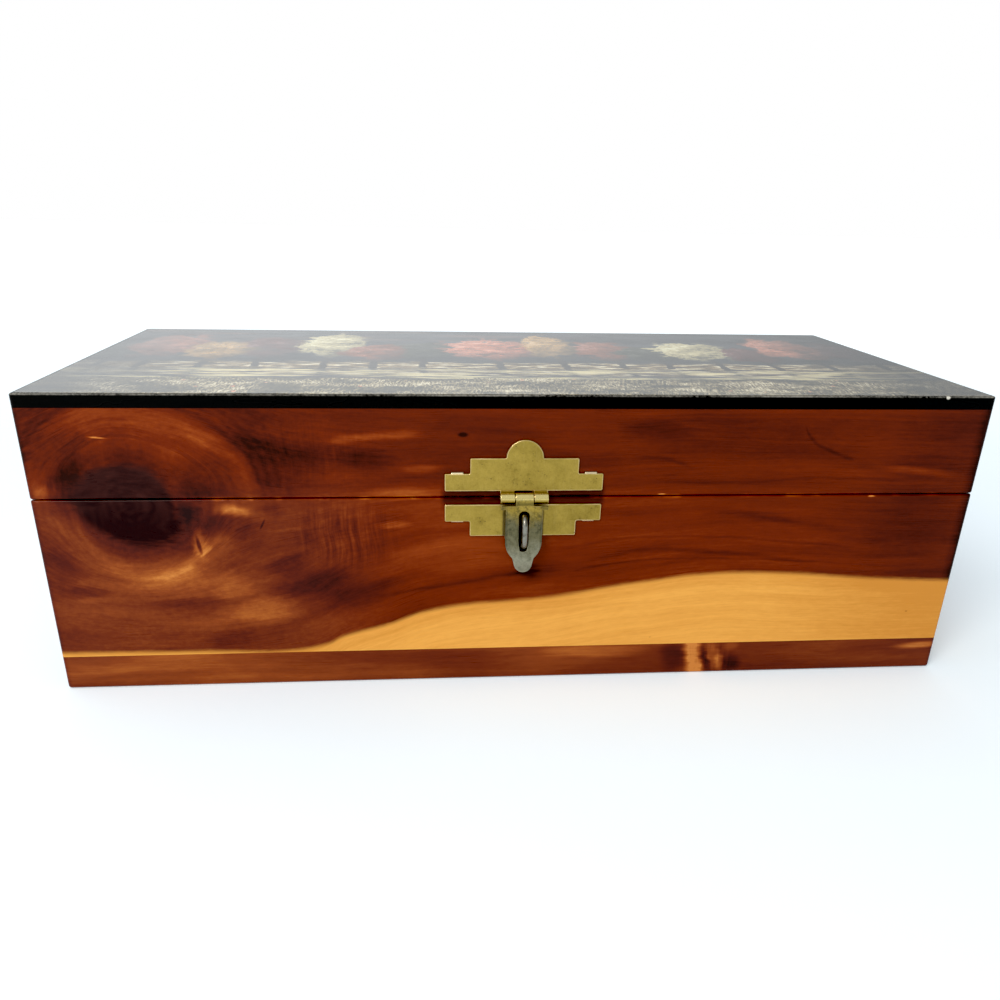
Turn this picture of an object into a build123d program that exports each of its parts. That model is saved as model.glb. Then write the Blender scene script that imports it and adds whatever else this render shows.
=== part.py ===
"""A small cedar keepsake box with a hinged lid, a picture top and a brass hasp.

Millimetres. +Z is up and +X runs along the box. The front, which carries the hasp, faces -Y.
The origin is the middle of the underside.
"""

from build123d import *

import math
import os

# Boards of the box
BOX_WIDTH = 228.6
BOX_DEPTH = 101.6
LONG_BOARD_THICKNESS = 9.5
END_BOARD_THICKNESS = 9.5
RABBET_LIP = 4.7
BOTTOM_THICKNESS = 9.0
BASE_WALL_HEIGHT = 41.1
SEAM_GAP = 0.3
LID_WALL_HEIGHT = 21.3
TOP_PANEL_THICKNESS = 3.2
CORNER_RADIUS = 0.8
FOOT_RELIEF = 0.2
TOP_EDGE_RELIEF = 0.4
SEAM_EASE = 0.4

# Picture glued on the top panel
PICTURE_THICKNESS = 0.1
PICTURE_INSET = 0.4

# Brads that hold the bottom board to the walls
BRAD_SHANK_RADIUS = 0.7
BRAD_HEAD_RADIUS = 1.3
BRAD_HEAD_THICKNESS = 0.8
BRAD_RECESS = 0.3
BRAD_BITE = 13.0
BRAD_INSET = 24.0

# Stamped hasp plates, one on the lid and one on the base
PLATE_WIDTH = 38.1
PLATE_STEP_WIDTH = 26.0
PLATE_STEP_HEIGHT = 4.3
PLATE_HEIGHT = 8.1
PLATE_CREST_RADIUS = 4.45
PLATE_CLEARANCE = 0.6
PLATE_THICKNESS = 0.6
PLATE_EDGE_RADIUS = 0.2
PRONG_WIDTH = 3.0
PRONG_POINT = 2.5
PRONG_PROUD = 0.35
PRONG_COVER = 4.5
PRONG_CLEARANCE = 0.05

# Hasp knuckles, pin and strap, with drops measured down from the pin
HASP_PIN_RADIUS = 0.6
HASP_KNUCKLE_SPAN = 11.5
HASP_CENTRE_KNUCKLE = 4.3
HASP_STANDOFF = 0.2
HASP_AXIS_RISE = 0.2
STRAP_THICKNESS = 0.65
SHOULDER_CLEARANCE = 0.3
SHOULDER_HEIGHT = 1.0
BLADE_WIDTH = 9.0
BLADE_TAPER = 4.3
NECK_WIDTH = 5.3
NECK_COVER = 1.75
TIP_RADIUS = 2.3
TIP_LENGTH = 3.4
FLARE_RADIUS = 10.0
FLARE_LENGTH = 4.4

# Wire staple that passes through the strap's slot, and the room that the slot leaves around it
STAPLE_DROP = 3.5
STAPLE_HEIGHT = 8.9
STAPLE_WIRE_RADIUS = 0.72
STAPLE_REACH = 5.6
STAPLE_BEND_RADIUS = 2.2
STAPLE_COVER = 3.5
SLOT_SIDE_CLEARANCE = 0.53
SLOT_TOP_CLEARANCE = 0.5
SLOT_BOTTOM_CLEARANCE = 1.0

# Butt hinges on the back
HINGE_INSET = 42.0
LEAF_WIDTH = 25.4
LEAF_HEIGHT = 9.0
LEAF_THICKNESS = 0.75
LEAF_CORNER_RADIUS = 1.5
LEAF_CLEARANCE = 0.6
HINGE_PIN_RADIUS = 0.7
HINGE_CENTRE_KNUCKLE = 9.0
HINGE_STANDOFF = 0.25
NAIL_INSET = 4.2
NAIL_SHANK_RADIUS = 0.6
NAIL_HEAD_RADIUS = 1.5
NAIL_HEAD_HEIGHT = 0.45
NAIL_COVER = 3.2

# Running clearances in both kinds of hinge
KNUCKLE_GAP = 0.2
PIN_CLEARANCE = 0.05

# Levels, planes and fits that the sizes above lead to
FRONT = -BOX_DEPTH / 2
BACK = BOX_DEPTH / 2
RIM = BOTTOM_THICKNESS + BASE_WALL_HEIGHT
LID_LOW = RIM + SEAM_GAP
LID_HIGH = LID_LOW + LID_WALL_HEIGHT
PANEL_HIGH = LID_HIGH + TOP_PANEL_THICKNESS
SEAM = (RIM + LID_LOW) / 2
FOOT_RADIUS = CORNER_RADIUS - FOOT_RELIEF
TOP_EDGE_RADIUS = CORNER_RADIUS - TOP_EDGE_RELIEF
PICTURE_MARGIN = TOP_EDGE_RADIUS + PICTURE_INSET
HASP_KNUCKLE_RADIUS = HASP_PIN_RADIUS + PIN_CLEARANCE + STRAP_THICKNESS
HASP_AXIS_Y = FRONT - HASP_KNUCKLE_RADIUS - HASP_STANDOFF
HASP_AXIS_Z = SEAM + HASP_AXIS_RISE
PLATE_SETBACK = HASP_KNUCKLE_RADIUS - HASP_AXIS_RISE + PLATE_CLEARANCE
PRONG_X = (PLATE_WIDTH + PLATE_STEP_WIDTH) / 4
PRONG_LENGTH = LONG_BOARD_THICKNESS - PRONG_COVER
STAPLE_TOP = HASP_AXIS_Z - STAPLE_DROP
STAPLE_LEGS = (STAPLE_TOP - STAPLE_WIRE_RADIUS, STAPLE_TOP - STAPLE_HEIGHT + STAPLE_WIRE_RADIUS)
STAPLE_DEPTH = LONG_BOARD_THICKNESS - STAPLE_COVER
SLOT_WIDTH = 2 * (STAPLE_WIRE_RADIUS + SLOT_SIDE_CLEARANCE)
SLOT_LENGTH = STAPLE_HEIGHT + SLOT_TOP_CLEARANCE + SLOT_BOTTOM_CLEARANCE
SLOT_DROP = STAPLE_DROP - SLOT_TOP_CLEARANCE
NECK_DROP = SLOT_DROP + SLOT_LENGTH + NECK_COVER
TIP_DROP = NECK_DROP + TIP_LENGTH
HINGE_KNUCKLE_RADIUS = HINGE_PIN_RADIUS + PIN_CLEARANCE + LEAF_THICKNESS
HINGE_AXIS_Y = BACK + HINGE_KNUCKLE_RADIUS + HINGE_STANDOFF
HINGE_X = BOX_WIDTH / 2 - HINGE_INSET
LEAF_SETBACK = HINGE_KNUCKLE_RADIUS + LEAF_CLEARANCE
NAIL_X = LEAF_WIDTH / 2 - NAIL_INSET
NAIL_DEPTH = LONG_BOARD_THICKNESS - NAIL_COVER
BRAD_LENGTH = BOTTOM_THICKNESS - BRAD_RECESS + BRAD_BITE
TOLERANCE = 0.01
UP, DOWN = 1, -1
FRONT_PLANE = Plane.XZ.offset(-FRONT)
STRAP_PLANE = Plane(origin=(0, FRONT, HASP_AXIS_Z), x_dir=(1, 0, 0), z_dir=(0, -1, 0))


def back_plane(x):
    """The back face of the box at x, with local y up and local z out of the box."""
    return Plane(origin=(x, BACK, SEAM), x_dir=(-1, 0, 0), z_dir=(0, 1, 0))


def save(piece, label):
    """Name a finished piece and write its file."""
    piece.part.label = label
    export_step(piece.part, f"parts/{label}.step")


def prong_centres(side):
    """The middles of a hasp plate's two prongs on the front face, on the lid (UP) or the base (DOWN)."""
    height = SEAM + side * (PLATE_SETBACK + PLATE_STEP_HEIGHT + PRONG_PROUD - PLATE_THICKNESS / 2)
    return [(x, height) for x in (-PRONG_X, PRONG_X)]


def nail_centres(side):
    """The nails of one hinge leaf in the hinge's back plane, on the lid (UP) or the base (DOWN)."""
    height = side * (LEAF_SETBACK + LEAF_HEIGHT / 2)
    return [(x, height) for x in (-NAIL_X, NAIL_X)]


def brad_centres():
    """The brads in plan: three in each long wall and one in each end wall."""
    x_long = BOX_WIDTH / 2 - BRAD_INSET
    y_long = BOX_DEPTH / 2 - LONG_BOARD_THICKNESS / 2
    x_end = BOX_WIDTH / 2 - END_BOARD_THICKNESS / 2
    along = [(x, y) for y in (-y_long, y_long) for x in (-x_long, 0, x_long)]
    return along + [(-x_end, 0), (x_end, 0)]


def ease_seam(board, side, outer):
    """Round a board's outside edges at the seam: its top on the base, its underside on the lid."""
    rim = board.faces().sort_by(Axis.Z)[-1 if side == DOWN else 0]
    fillet([edge for edge in rim.edges() if outer(edge.center())], SEAM_EASE)


def long_board(side, facing, low, height):
    """A front (facing -1) or back (facing 1) board: full width, rabbeted at each end for the end boards."""
    lip_plane = BOX_DEPTH / 2 - RABBET_LIP
    rabbet_depth = LONG_BOARD_THICKNESS - RABBET_LIP
    with BuildPart() as board:
        with BuildSketch(Plane.XY.offset(low)) as outline:
            with Locations((0, facing * (BOX_DEPTH - LONG_BOARD_THICKNESS) / 2)):
                Rectangle(BOX_WIDTH, LONG_BOARD_THICKNESS)
            fillet(outline.vertices().sort_by(lambda corner: facing * corner.Y)[-2:], CORNER_RADIUS)
            with Locations([(end * (BOX_WIDTH - END_BOARD_THICKNESS) / 2,
                             facing * (lip_plane - rabbet_depth / 2)) for end in (-1, 1)]):
                Rectangle(END_BOARD_THICKNESS, rabbet_depth, mode=Mode.SUBTRACT)
        extrude(amount=height)
        ease_seam(board, side, lambda middle: facing * middle.Y > lip_plane + TOLERANCE)
        if side == DOWN:
            with BuildSketch(Plane.XY.offset(low)):
                with Locations([(x, y) for x, y in brad_centres() if y * facing > 0]):
                    Circle(BRAD_SHANK_RADIUS)
            extrude(amount=BRAD_BITE, mode=Mode.SUBTRACT)
    return board


def end_board(side, facing, low, height):
    """A left (facing -1) or right (facing 1) board, seated in the rabbets of the long boards."""
    outside = BOX_WIDTH / 2
    with BuildPart() as board:
        with BuildSketch(Plane.XY.offset(low)):
            with Locations((facing * (outside - END_BOARD_THICKNESS / 2), 0)):
                Rectangle(END_BOARD_THICKNESS, BOX_DEPTH - 2 * RABBET_LIP)
        extrude(amount=height)
        ease_seam(board, side, lambda middle: facing * middle.X > outside - TOLERANCE)
        if side == DOWN:
            with BuildSketch(Plane.XY.offset(low)):
                with Locations([(x, y) for x, y in brad_centres() if x * facing > 0 and y == 0]):
                    Circle(BRAD_SHANK_RADIUS)
            extrude(amount=BRAD_BITE, mode=Mode.SUBTRACT)
    return board


def front_board(side, low, height):
    """A front board with the slots for its hasp plate's prongs."""
    blank = long_board(side, -1, low, height)
    with BuildPart() as board:
        add(blank.part)
        with BuildSketch(FRONT_PLANE):
            with Locations(prong_centres(side)):
                Rectangle(PRONG_WIDTH + 2 * PRONG_CLEARANCE, PLATE_THICKNESS + 2 * PRONG_CLEARANCE)
        extrude(amount=-PRONG_LENGTH - PRONG_CLEARANCE, mode=Mode.SUBTRACT)
        if side == DOWN:
            with BuildSketch(FRONT_PLANE):
                with Locations([(0, height) for height in STAPLE_LEGS]):
                    Circle(STAPLE_WIRE_RADIUS)
            extrude(amount=-STAPLE_DEPTH, mode=Mode.SUBTRACT)
    return board


def back_board(side, low, height):
    """A back board with the holes that its hinge nails are driven into."""
    blank = long_board(side, 1, low, height)
    with BuildPart() as board:
        add(blank.part)
        for x in (-HINGE_X, HINGE_X):
            with BuildSketch(back_plane(x)):
                with Locations(nail_centres(side)):
                    Circle(NAIL_SHANK_RADIUS)
            extrude(amount=-NAIL_DEPTH, mode=Mode.SUBTRACT)
    return board


def bottom_board():
    """The full-size bottom, rounded underneath, with counterbored holes for the brads."""
    with BuildPart() as board:
        with BuildSketch():
            RectangleRounded(BOX_WIDTH, BOX_DEPTH, CORNER_RADIUS)
        extrude(amount=BOTTOM_THICKNESS)
        fillet(board.faces().sort_by(Axis.Z)[0].edges(), FOOT_RADIUS)
        with BuildSketch():
            with Locations(brad_centres()):
                Circle(BRAD_SHANK_RADIUS)
        extrude(amount=BOTTOM_THICKNESS, mode=Mode.SUBTRACT)
        with BuildSketch():
            with Locations(brad_centres()):
                Circle(BRAD_HEAD_RADIUS)
        extrude(amount=BRAD_RECESS + BRAD_HEAD_THICKNESS, mode=Mode.SUBTRACT)
    return board


def bottom_brads():
    """The brads, driven up from below, with their heads just under the surface."""
    with BuildPart() as brads:
        with BuildSketch(Plane.XY.offset(BRAD_RECESS)):
            with Locations(brad_centres()):
                Circle(BRAD_HEAD_RADIUS)
        extrude(amount=BRAD_HEAD_THICKNESS)
        with BuildSketch(Plane.XY.offset(BRAD_RECESS)):
            with Locations(brad_centres()):
                Circle(BRAD_SHANK_RADIUS)
        extrude(amount=BRAD_LENGTH)
    return brads


def top_panel():
    """The thin panel that closes the lid, flush with the walls and rounded along its upper edge."""
    with BuildPart() as panel:
        with BuildSketch(Plane.XY.offset(LID_HIGH)):
            RectangleRounded(BOX_WIDTH, BOX_DEPTH, CORNER_RADIUS)
        extrude(amount=TOP_PANEL_THICKNESS)
        fillet(panel.faces().sort_by(Axis.Z)[-1].edges(), TOP_EDGE_RADIUS)
    return panel


def picture_sheet():
    """The printed sheet on the top panel."""
    with BuildPart() as sheet:
        with BuildSketch(Plane.XY.offset(PANEL_HIGH)):
            RectangleRounded(BOX_WIDTH - 2 * PICTURE_MARGIN, BOX_DEPTH - 2 * PICTURE_MARGIN, CORNER_RADIUS)
        extrude(amount=PICTURE_THICKNESS)
    return sheet


def hasp_plate(side):
    """A stepped plate with a half-round crest and two prongs folded back into the wood."""
    near = SEAM + side * PLATE_SETBACK
    step = near + side * PLATE_STEP_HEIGHT
    far = near + side * PLATE_HEIGHT
    wide, narrow = PLATE_WIDTH / 2, PLATE_STEP_WIDTH / 2
    with BuildPart() as plate:
        with BuildSketch(FRONT_PLANE):
            with BuildLine():
                Polyline((-PLATE_CREST_RADIUS, far), (-narrow, far), (-narrow, step), (-wide, step),
                         (-wide, near), (wide, near), (wide, step), (narrow, step), (narrow, far),
                         (PLATE_CREST_RADIUS, far))
                ThreePointArc((PLATE_CREST_RADIUS, far), (0, far + side * PLATE_CREST_RADIUS),
                              (-PLATE_CREST_RADIUS, far))
            make_face()
        extrude(amount=PLATE_THICKNESS)
        fillet(plate.faces().sort_by(Axis.Y)[0].edges(), PLATE_EDGE_RADIUS)
        for x, height in prong_centres(side):
            with BuildSketch(Plane.YZ.offset(x)):
                with BuildLine():
                    inner = height - side * PLATE_THICKNESS / 2
                    outer = height + side * PLATE_THICKNESS / 2
                    bend = (FRONT - PLATE_THICKNESS / 2, outer)
                    root = (FRONT - PLATE_THICKNESS, inner)
                    Polyline(bend, (FRONT + PRONG_LENGTH - PRONG_POINT, outer),
                             (FRONT + PRONG_LENGTH, inner), root)
                    RadiusArc(root, bend, side * PLATE_THICKNESS)
                make_face()
            extrude(amount=PRONG_WIDTH / 2, both=True)
    return plate


def knuckle_spans(span, centre):
    """The X ranges of a three-knuckle hinge: the two outer knuckles, then the middle one."""
    inner = centre / 2 + KNUCKLE_GAP
    return [(-span / 2, -inner), (inner, span / 2)], [(-centre / 2, centre / 2)]


def hasp_upper_plate():
    """The lid's hasp plate, whose lower edge is rolled into the two outer knuckles."""
    outer, _ = knuckle_spans(HASP_KNUCKLE_SPAN, HASP_CENTRE_KNUCKLE)
    blank = hasp_plate(UP)
    with BuildPart() as plate:
        add(blank.part)
        for start, end in outer:
            with BuildSketch(Plane.YZ.offset(start)):
                with Locations((HASP_AXIS_Y, HASP_AXIS_Z)):
                    Circle(HASP_KNUCKLE_RADIUS)
                with Locations((FRONT - PLATE_THICKNESS, HASP_AXIS_Z)):
                    Rectangle(PLATE_THICKNESS, SEAM + PLATE_SETBACK + PLATE_EDGE_RADIUS - HASP_AXIS_Z,
                              align=(Align.MIN, Align.MIN))
            extrude(amount=end - start)
        with BuildSketch(Plane.YZ):
            with Locations((HASP_AXIS_Y, HASP_AXIS_Z)):
                Circle(HASP_PIN_RADIUS)
        extrude(amount=HASP_KNUCKLE_SPAN, both=True, mode=Mode.SUBTRACT)
    return plate


def hasp_keeper_plate():
    """The base's hasp plate, pierced for the staple's legs."""
    blank = hasp_plate(DOWN)
    with BuildPart() as plate:
        add(blank.part)
        with BuildSketch(FRONT_PLANE):
            with Locations([(0, height) for height in STAPLE_LEGS]):
                Circle(STAPLE_WIRE_RADIUS)
        extrude(amount=PLATE_THICKNESS, mode=Mode.SUBTRACT)
    return plate


def hasp_pin():
    """The pin that carries the strap."""
    with BuildPart() as pin:
        with BuildSketch(Plane.YZ):
            with Locations((HASP_AXIS_Y, HASP_AXIS_Z)):
                Circle(HASP_PIN_RADIUS)
        extrude(amount=HASP_KNUCKLE_SPAN / 2, both=True)
    return pin


def hasp_strap():
    """The swinging strap: a rolled knuckle, a slotted T-shaped blade and a tip flared away from the box."""
    front = HASP_AXIS_Y - HASP_KNUCKLE_RADIUS
    flare_top = HASP_AXIS_Z - TIP_DROP + FLARE_LENGTH
    flare_centre = (front - FLARE_RADIUS, flare_top)
    flare_angle = math.degrees(math.asin(FLARE_LENGTH / FLARE_RADIUS))
    knuckle, shoulder = HASP_CENTRE_KNUCKLE / 2, HASP_KNUCKLE_SPAN / 2
    blade, neck = BLADE_WIDTH / 2, NECK_WIDTH / 2
    shoulder_top = -HASP_KNUCKLE_RADIUS - SHOULDER_CLEARANCE
    shoulder_low = shoulder_top - SHOULDER_HEIGHT
    blade_low = -NECK_DROP + BLADE_TAPER
    tip_centre = -TIP_DROP + TIP_RADIUS
    through = STAPLE_REACH + FLARE_RADIUS
    with BuildPart() as strap:
        with BuildSketch(Plane.YZ):
            with BuildLine():
                Line((front, HASP_AXIS_Z), (front, flare_top))
                inner = CenterArc(flare_centre, FLARE_RADIUS, 0, -flare_angle)
                outer = CenterArc(flare_centre, FLARE_RADIUS + STRAP_THICKNESS, 0, -flare_angle)
                Line(inner @ 1, outer @ 1)
                Line(outer @ 0, (front + STRAP_THICKNESS, HASP_AXIS_Z))
                Line((front + STRAP_THICKNESS, HASP_AXIS_Z), (front, HASP_AXIS_Z))
            make_face()
        extrude(amount=shoulder, both=True)
        with BuildSketch(STRAP_PLANE):
            with BuildLine():
                Polyline((0, -TIP_DROP), (0, 0), (knuckle, 0), (knuckle, shoulder_top),
                         (shoulder, shoulder_top), (shoulder, shoulder_low), (blade, shoulder_low),
                         (blade, blade_low))
                TangentArc((blade, blade_low), (neck, -NECK_DROP), tangent=(0, -1))
                Line((neck, -NECK_DROP), (TIP_RADIUS, tip_centre))
                RadiusArc((TIP_RADIUS, tip_centre), (0, -TIP_DROP), TIP_RADIUS)
            make_face()
            mirror(about=Plane.YZ)
        extrude(amount=through, mode=Mode.INTERSECT)
        with BuildSketch(STRAP_PLANE):
            with Locations((0, -SLOT_DROP - SLOT_LENGTH / 2)):
                SlotOverall(SLOT_LENGTH, SLOT_WIDTH, rotation=90)
        extrude(amount=through, mode=Mode.SUBTRACT)
        with BuildSketch(Plane.YZ):
            with Locations((HASP_AXIS_Y, HASP_AXIS_Z)):
                Circle(HASP_KNUCKLE_RADIUS)
        extrude(amount=knuckle, both=True)
        with BuildSketch(Plane.YZ):
            with Locations((HASP_AXIS_Y, HASP_AXIS_Z)):
                Circle(HASP_PIN_RADIUS + PIN_CLEARANCE)
        extrude(amount=shoulder, both=True, mode=Mode.SUBTRACT)
    return strap


def hasp_staple():
    """A loop of wire standing out of the keeper plate, its two legs driven into the base's front board."""
    top, bottom = STAPLE_LEGS
    inside = FRONT + STAPLE_DEPTH
    outside = FRONT - STAPLE_REACH + STAPLE_WIRE_RADIUS
    with BuildPart() as staple:
        with BuildLine(Plane.YZ) as route:
            FilletPolyline((inside, top), (outside, top), (outside, bottom), (inside, bottom),
                           radius=STAPLE_BEND_RADIUS)
        with BuildSketch(Plane(origin=route.line @ 0, z_dir=route.line % 0)):
            Circle(STAPLE_WIRE_RADIUS)
        sweep()
    return staple


def hinge_leaf(side, x):
    """A hinge leaf: the base's holds the two outer knuckles and the lid's holds the middle one."""
    outer, middle = knuckle_spans(LEAF_WIDTH, HINGE_CENTRE_KNUCKLE)
    bore = HINGE_PIN_RADIUS + (PIN_CLEARANCE if side == UP else 0)
    with BuildPart() as leaf:
        with BuildSketch(back_plane(x)):
            with Locations((0, side * (LEAF_SETBACK + LEAF_HEIGHT / 2))):
                RectangleRounded(LEAF_WIDTH, LEAF_HEIGHT, LEAF_CORNER_RADIUS)
            with Locations(nail_centres(side)):
                Circle(NAIL_SHANK_RADIUS, mode=Mode.SUBTRACT)
        extrude(amount=LEAF_THICKNESS)
        for start, end in (middle if side == UP else outer):
            with BuildSketch(Plane.YZ.offset(x + start)):
                with Locations((HINGE_AXIS_Y, SEAM)):
                    Circle(HINGE_KNUCKLE_RADIUS)
                with Locations((BACK + LEAF_THICKNESS / 2, SEAM + side * LEAF_SETBACK / 2)):
                    Rectangle(LEAF_THICKNESS, LEAF_SETBACK + 2 * TOLERANCE)
            extrude(amount=end - start)
        with BuildSketch(Plane.YZ.offset(x)):
            with Locations((HINGE_AXIS_Y, SEAM)):
                Circle(bore)
        extrude(amount=LEAF_WIDTH, both=True, mode=Mode.SUBTRACT)
    return leaf


def hinge_pin(x):
    """The pin of one hinge."""
    with BuildPart() as pin:
        with BuildSketch(Plane.YZ.offset(x)):
            with Locations((HINGE_AXIS_Y, SEAM)):
                Circle(HINGE_PIN_RADIUS)
        extrude(amount=LEAF_WIDTH / 2, both=True)
    return pin


def hinge_nails(side):
    """The domed nails of both hinges, on the lid (UP) or the base (DOWN)."""
    dome_radius = (NAIL_HEAD_RADIUS ** 2 + NAIL_HEAD_HEIGHT ** 2) / (2 * NAIL_HEAD_HEIGHT)
    centres = [back_plane(x) * Location((u, v, 0))
               for x in (-HINGE_X, HINGE_X) for u, v in nail_centres(side)]
    with BuildPart(mode=Mode.PRIVATE) as nail:
        with BuildSketch(Plane.XZ):
            with BuildLine():
                Polyline((0, LEAF_THICKNESS + NAIL_HEAD_HEIGHT), (0, -NAIL_DEPTH),
                         (NAIL_SHANK_RADIUS, -NAIL_DEPTH),
                         (NAIL_SHANK_RADIUS, LEAF_THICKNESS), (NAIL_HEAD_RADIUS, LEAF_THICKNESS))
                RadiusArc((NAIL_HEAD_RADIUS, LEAF_THICKNESS), (0, LEAF_THICKNESS + NAIL_HEAD_HEIGHT),
                          -dome_radius)
            make_face()
        revolve(axis=Axis.Z)
    with BuildPart() as nails:
        with Locations(centres):
            add(nail.part)
    return nails


os.makedirs("parts", exist_ok=True)

save(bottom_board(), "bottom_board")
save(bottom_brads(), "bottom_brads")
save(front_board(DOWN, BOTTOM_THICKNESS, BASE_WALL_HEIGHT), "base_front_wall")
save(back_board(DOWN, BOTTOM_THICKNESS, BASE_WALL_HEIGHT), "base_back_wall")
save(end_board(DOWN, -1, BOTTOM_THICKNESS, BASE_WALL_HEIGHT), "base_left_wall")
save(end_board(DOWN, 1, BOTTOM_THICKNESS, BASE_WALL_HEIGHT), "base_right_wall")

save(front_board(UP, LID_LOW, LID_WALL_HEIGHT), "lid_front_wall")
save(back_board(UP, LID_LOW, LID_WALL_HEIGHT), "lid_back_wall")
save(end_board(UP, -1, LID_LOW, LID_WALL_HEIGHT), "lid_left_wall")
save(end_board(UP, 1, LID_LOW, LID_WALL_HEIGHT), "lid_right_wall")
save(top_panel(), "top_panel")
save(picture_sheet(), "picture_sheet")

save(hasp_upper_plate(), "hasp_upper_plate")
save(hasp_keeper_plate(), "hasp_keeper_plate")
save(hasp_pin(), "hasp_pin")
save(hasp_strap(), "hasp_strap")
save(hasp_staple(), "hasp_staple")

for hand, hinge_x in (("left", -HINGE_X), ("right", HINGE_X)):
    save(hinge_leaf(DOWN, hinge_x), f"hinge_base_leaf_{hand}")
    save(hinge_leaf(UP, hinge_x), f"hinge_lid_leaf_{hand}")
    save(hinge_pin(hinge_x), f"hinge_pin_{hand}")
save(hinge_nails(DOWN), "hinge_base_nails")
save(hinge_nails(UP), "hinge_lid_nails")
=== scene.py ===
"""Looks of a small cedar keepsake box with a picture lid, a brass hasp and two back hinges.

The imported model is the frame: metres, +Z up, the front with the hasp towards -Y, the origin in the
middle of the underside. Sizes in this file are millimetres and become metres when a mesh is written.
"""

import logging
import math
from dataclasses import dataclass, field
from enum import Enum
from typing import Any

import bmesh
import bpy
import numpy as np
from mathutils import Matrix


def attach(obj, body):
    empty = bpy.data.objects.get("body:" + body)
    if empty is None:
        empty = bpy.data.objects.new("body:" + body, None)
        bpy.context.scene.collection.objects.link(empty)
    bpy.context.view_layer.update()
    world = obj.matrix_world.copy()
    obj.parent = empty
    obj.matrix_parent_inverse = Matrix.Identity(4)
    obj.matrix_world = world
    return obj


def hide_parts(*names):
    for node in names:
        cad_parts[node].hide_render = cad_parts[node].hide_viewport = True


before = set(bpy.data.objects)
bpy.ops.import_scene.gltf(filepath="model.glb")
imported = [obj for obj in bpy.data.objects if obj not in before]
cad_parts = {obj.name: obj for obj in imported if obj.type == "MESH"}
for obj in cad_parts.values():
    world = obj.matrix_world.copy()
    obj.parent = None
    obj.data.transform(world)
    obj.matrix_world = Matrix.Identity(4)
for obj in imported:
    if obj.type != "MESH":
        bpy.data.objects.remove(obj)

LOG = logging.getLogger("keepsake_box")
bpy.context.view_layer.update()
MM = 0.001

# The box in millimetres, and a place beyond it for what a finish goes without
HALF_WIDTH = 114.3
HALF_DEPTH = 50.8
SEAM = 50.25
FAR = 1000.0

Array = np.ndarray
Colour = tuple[float, float, float]
Point = tuple[float, float]
Stops = tuple[tuple[float, Colour], ...]


class GrainAxis(Enum):
    """The way that a board's grain runs."""

    ALONG_X = "x"
    ALONG_Y = "y"


class Side(Enum):
    """A plate or leaf on the lid, above the seam, or on the base, below it."""

    LID = 1
    BASE = -1

    @property
    def body(self) -> str:
        """The body that carries this side's metal."""
        return self.name.lower()


# Shader graphs


class Signal:
    """A socket that takes part in Python arithmetic; each operation on values adds a Math node."""

    def __init__(self, graph: "Graph", socket: Any) -> None:
        """Keep the socket and the graph that it belongs to."""
        self.graph = graph
        self.socket = socket

    def math(self, operation: str, *operands: "Signal | float") -> "Signal":
        """Add one Math node for an operation on these operands."""
        return self.graph.add("ShaderNodeMath", {"operation": operation}, dict(enumerate(operands)))

    def sibling(self, name: str) -> "Signal":
        """Another output of the node that this signal comes from."""
        return Signal(self.graph, self.socket.node.outputs[name])

    def __add__(self, other: "Signal | float") -> "Signal":
        """Sum of two values."""
        return self.math("ADD", self, other)

    def __radd__(self, other: float) -> "Signal":
        """Sum with a number on the left."""
        return self.math("ADD", other, self)

    def __sub__(self, other: "Signal | float") -> "Signal":
        """Difference of two values."""
        return self.math("SUBTRACT", self, other)

    def __rsub__(self, other: float) -> "Signal":
        """A number less this value."""
        return self.math("SUBTRACT", other, self)

    def __mul__(self, other: "Signal | float") -> "Signal":
        """Product of two values."""
        return self.math("MULTIPLY", self, other)

    def __rmul__(self, other: float) -> "Signal":
        """Product with a number on the left."""
        return self.math("MULTIPLY", other, self)

    def __truediv__(self, other: "Signal | float") -> "Signal":
        """Quotient of two values."""
        return self.math("DIVIDE", self, other)

    def __rtruediv__(self, other: float) -> "Signal":
        """A number divided by this value."""
        return self.math("DIVIDE", other, self)

    def __pow__(self, other: "Signal | float") -> "Signal":
        """This value raised to a power."""
        return self.math("POWER", self, other)

    def __abs__(self) -> "Signal":
        """Size of the value without its sign."""
        return self.math("ABSOLUTE", self)

    def sin(self) -> "Signal":
        """Sine of the value in radians."""
        return self.math("SINE", self)

    def sqrt(self) -> "Signal":
        """Square root of the value."""
        return self.math("SQRT", self)

    def at_least(self, low: "Signal | float") -> "Signal":
        """The larger of two values."""
        return self.math("MAXIMUM", self, low)

    def at_most(self, high: "Signal | float") -> "Signal":
        """The smaller of two values."""
        return self.math("MINIMUM", self, high)

    def between(self, low: float, high: float) -> "Signal":
        """This value kept within two bounds."""
        return self.at_least(low).at_most(high)


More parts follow.
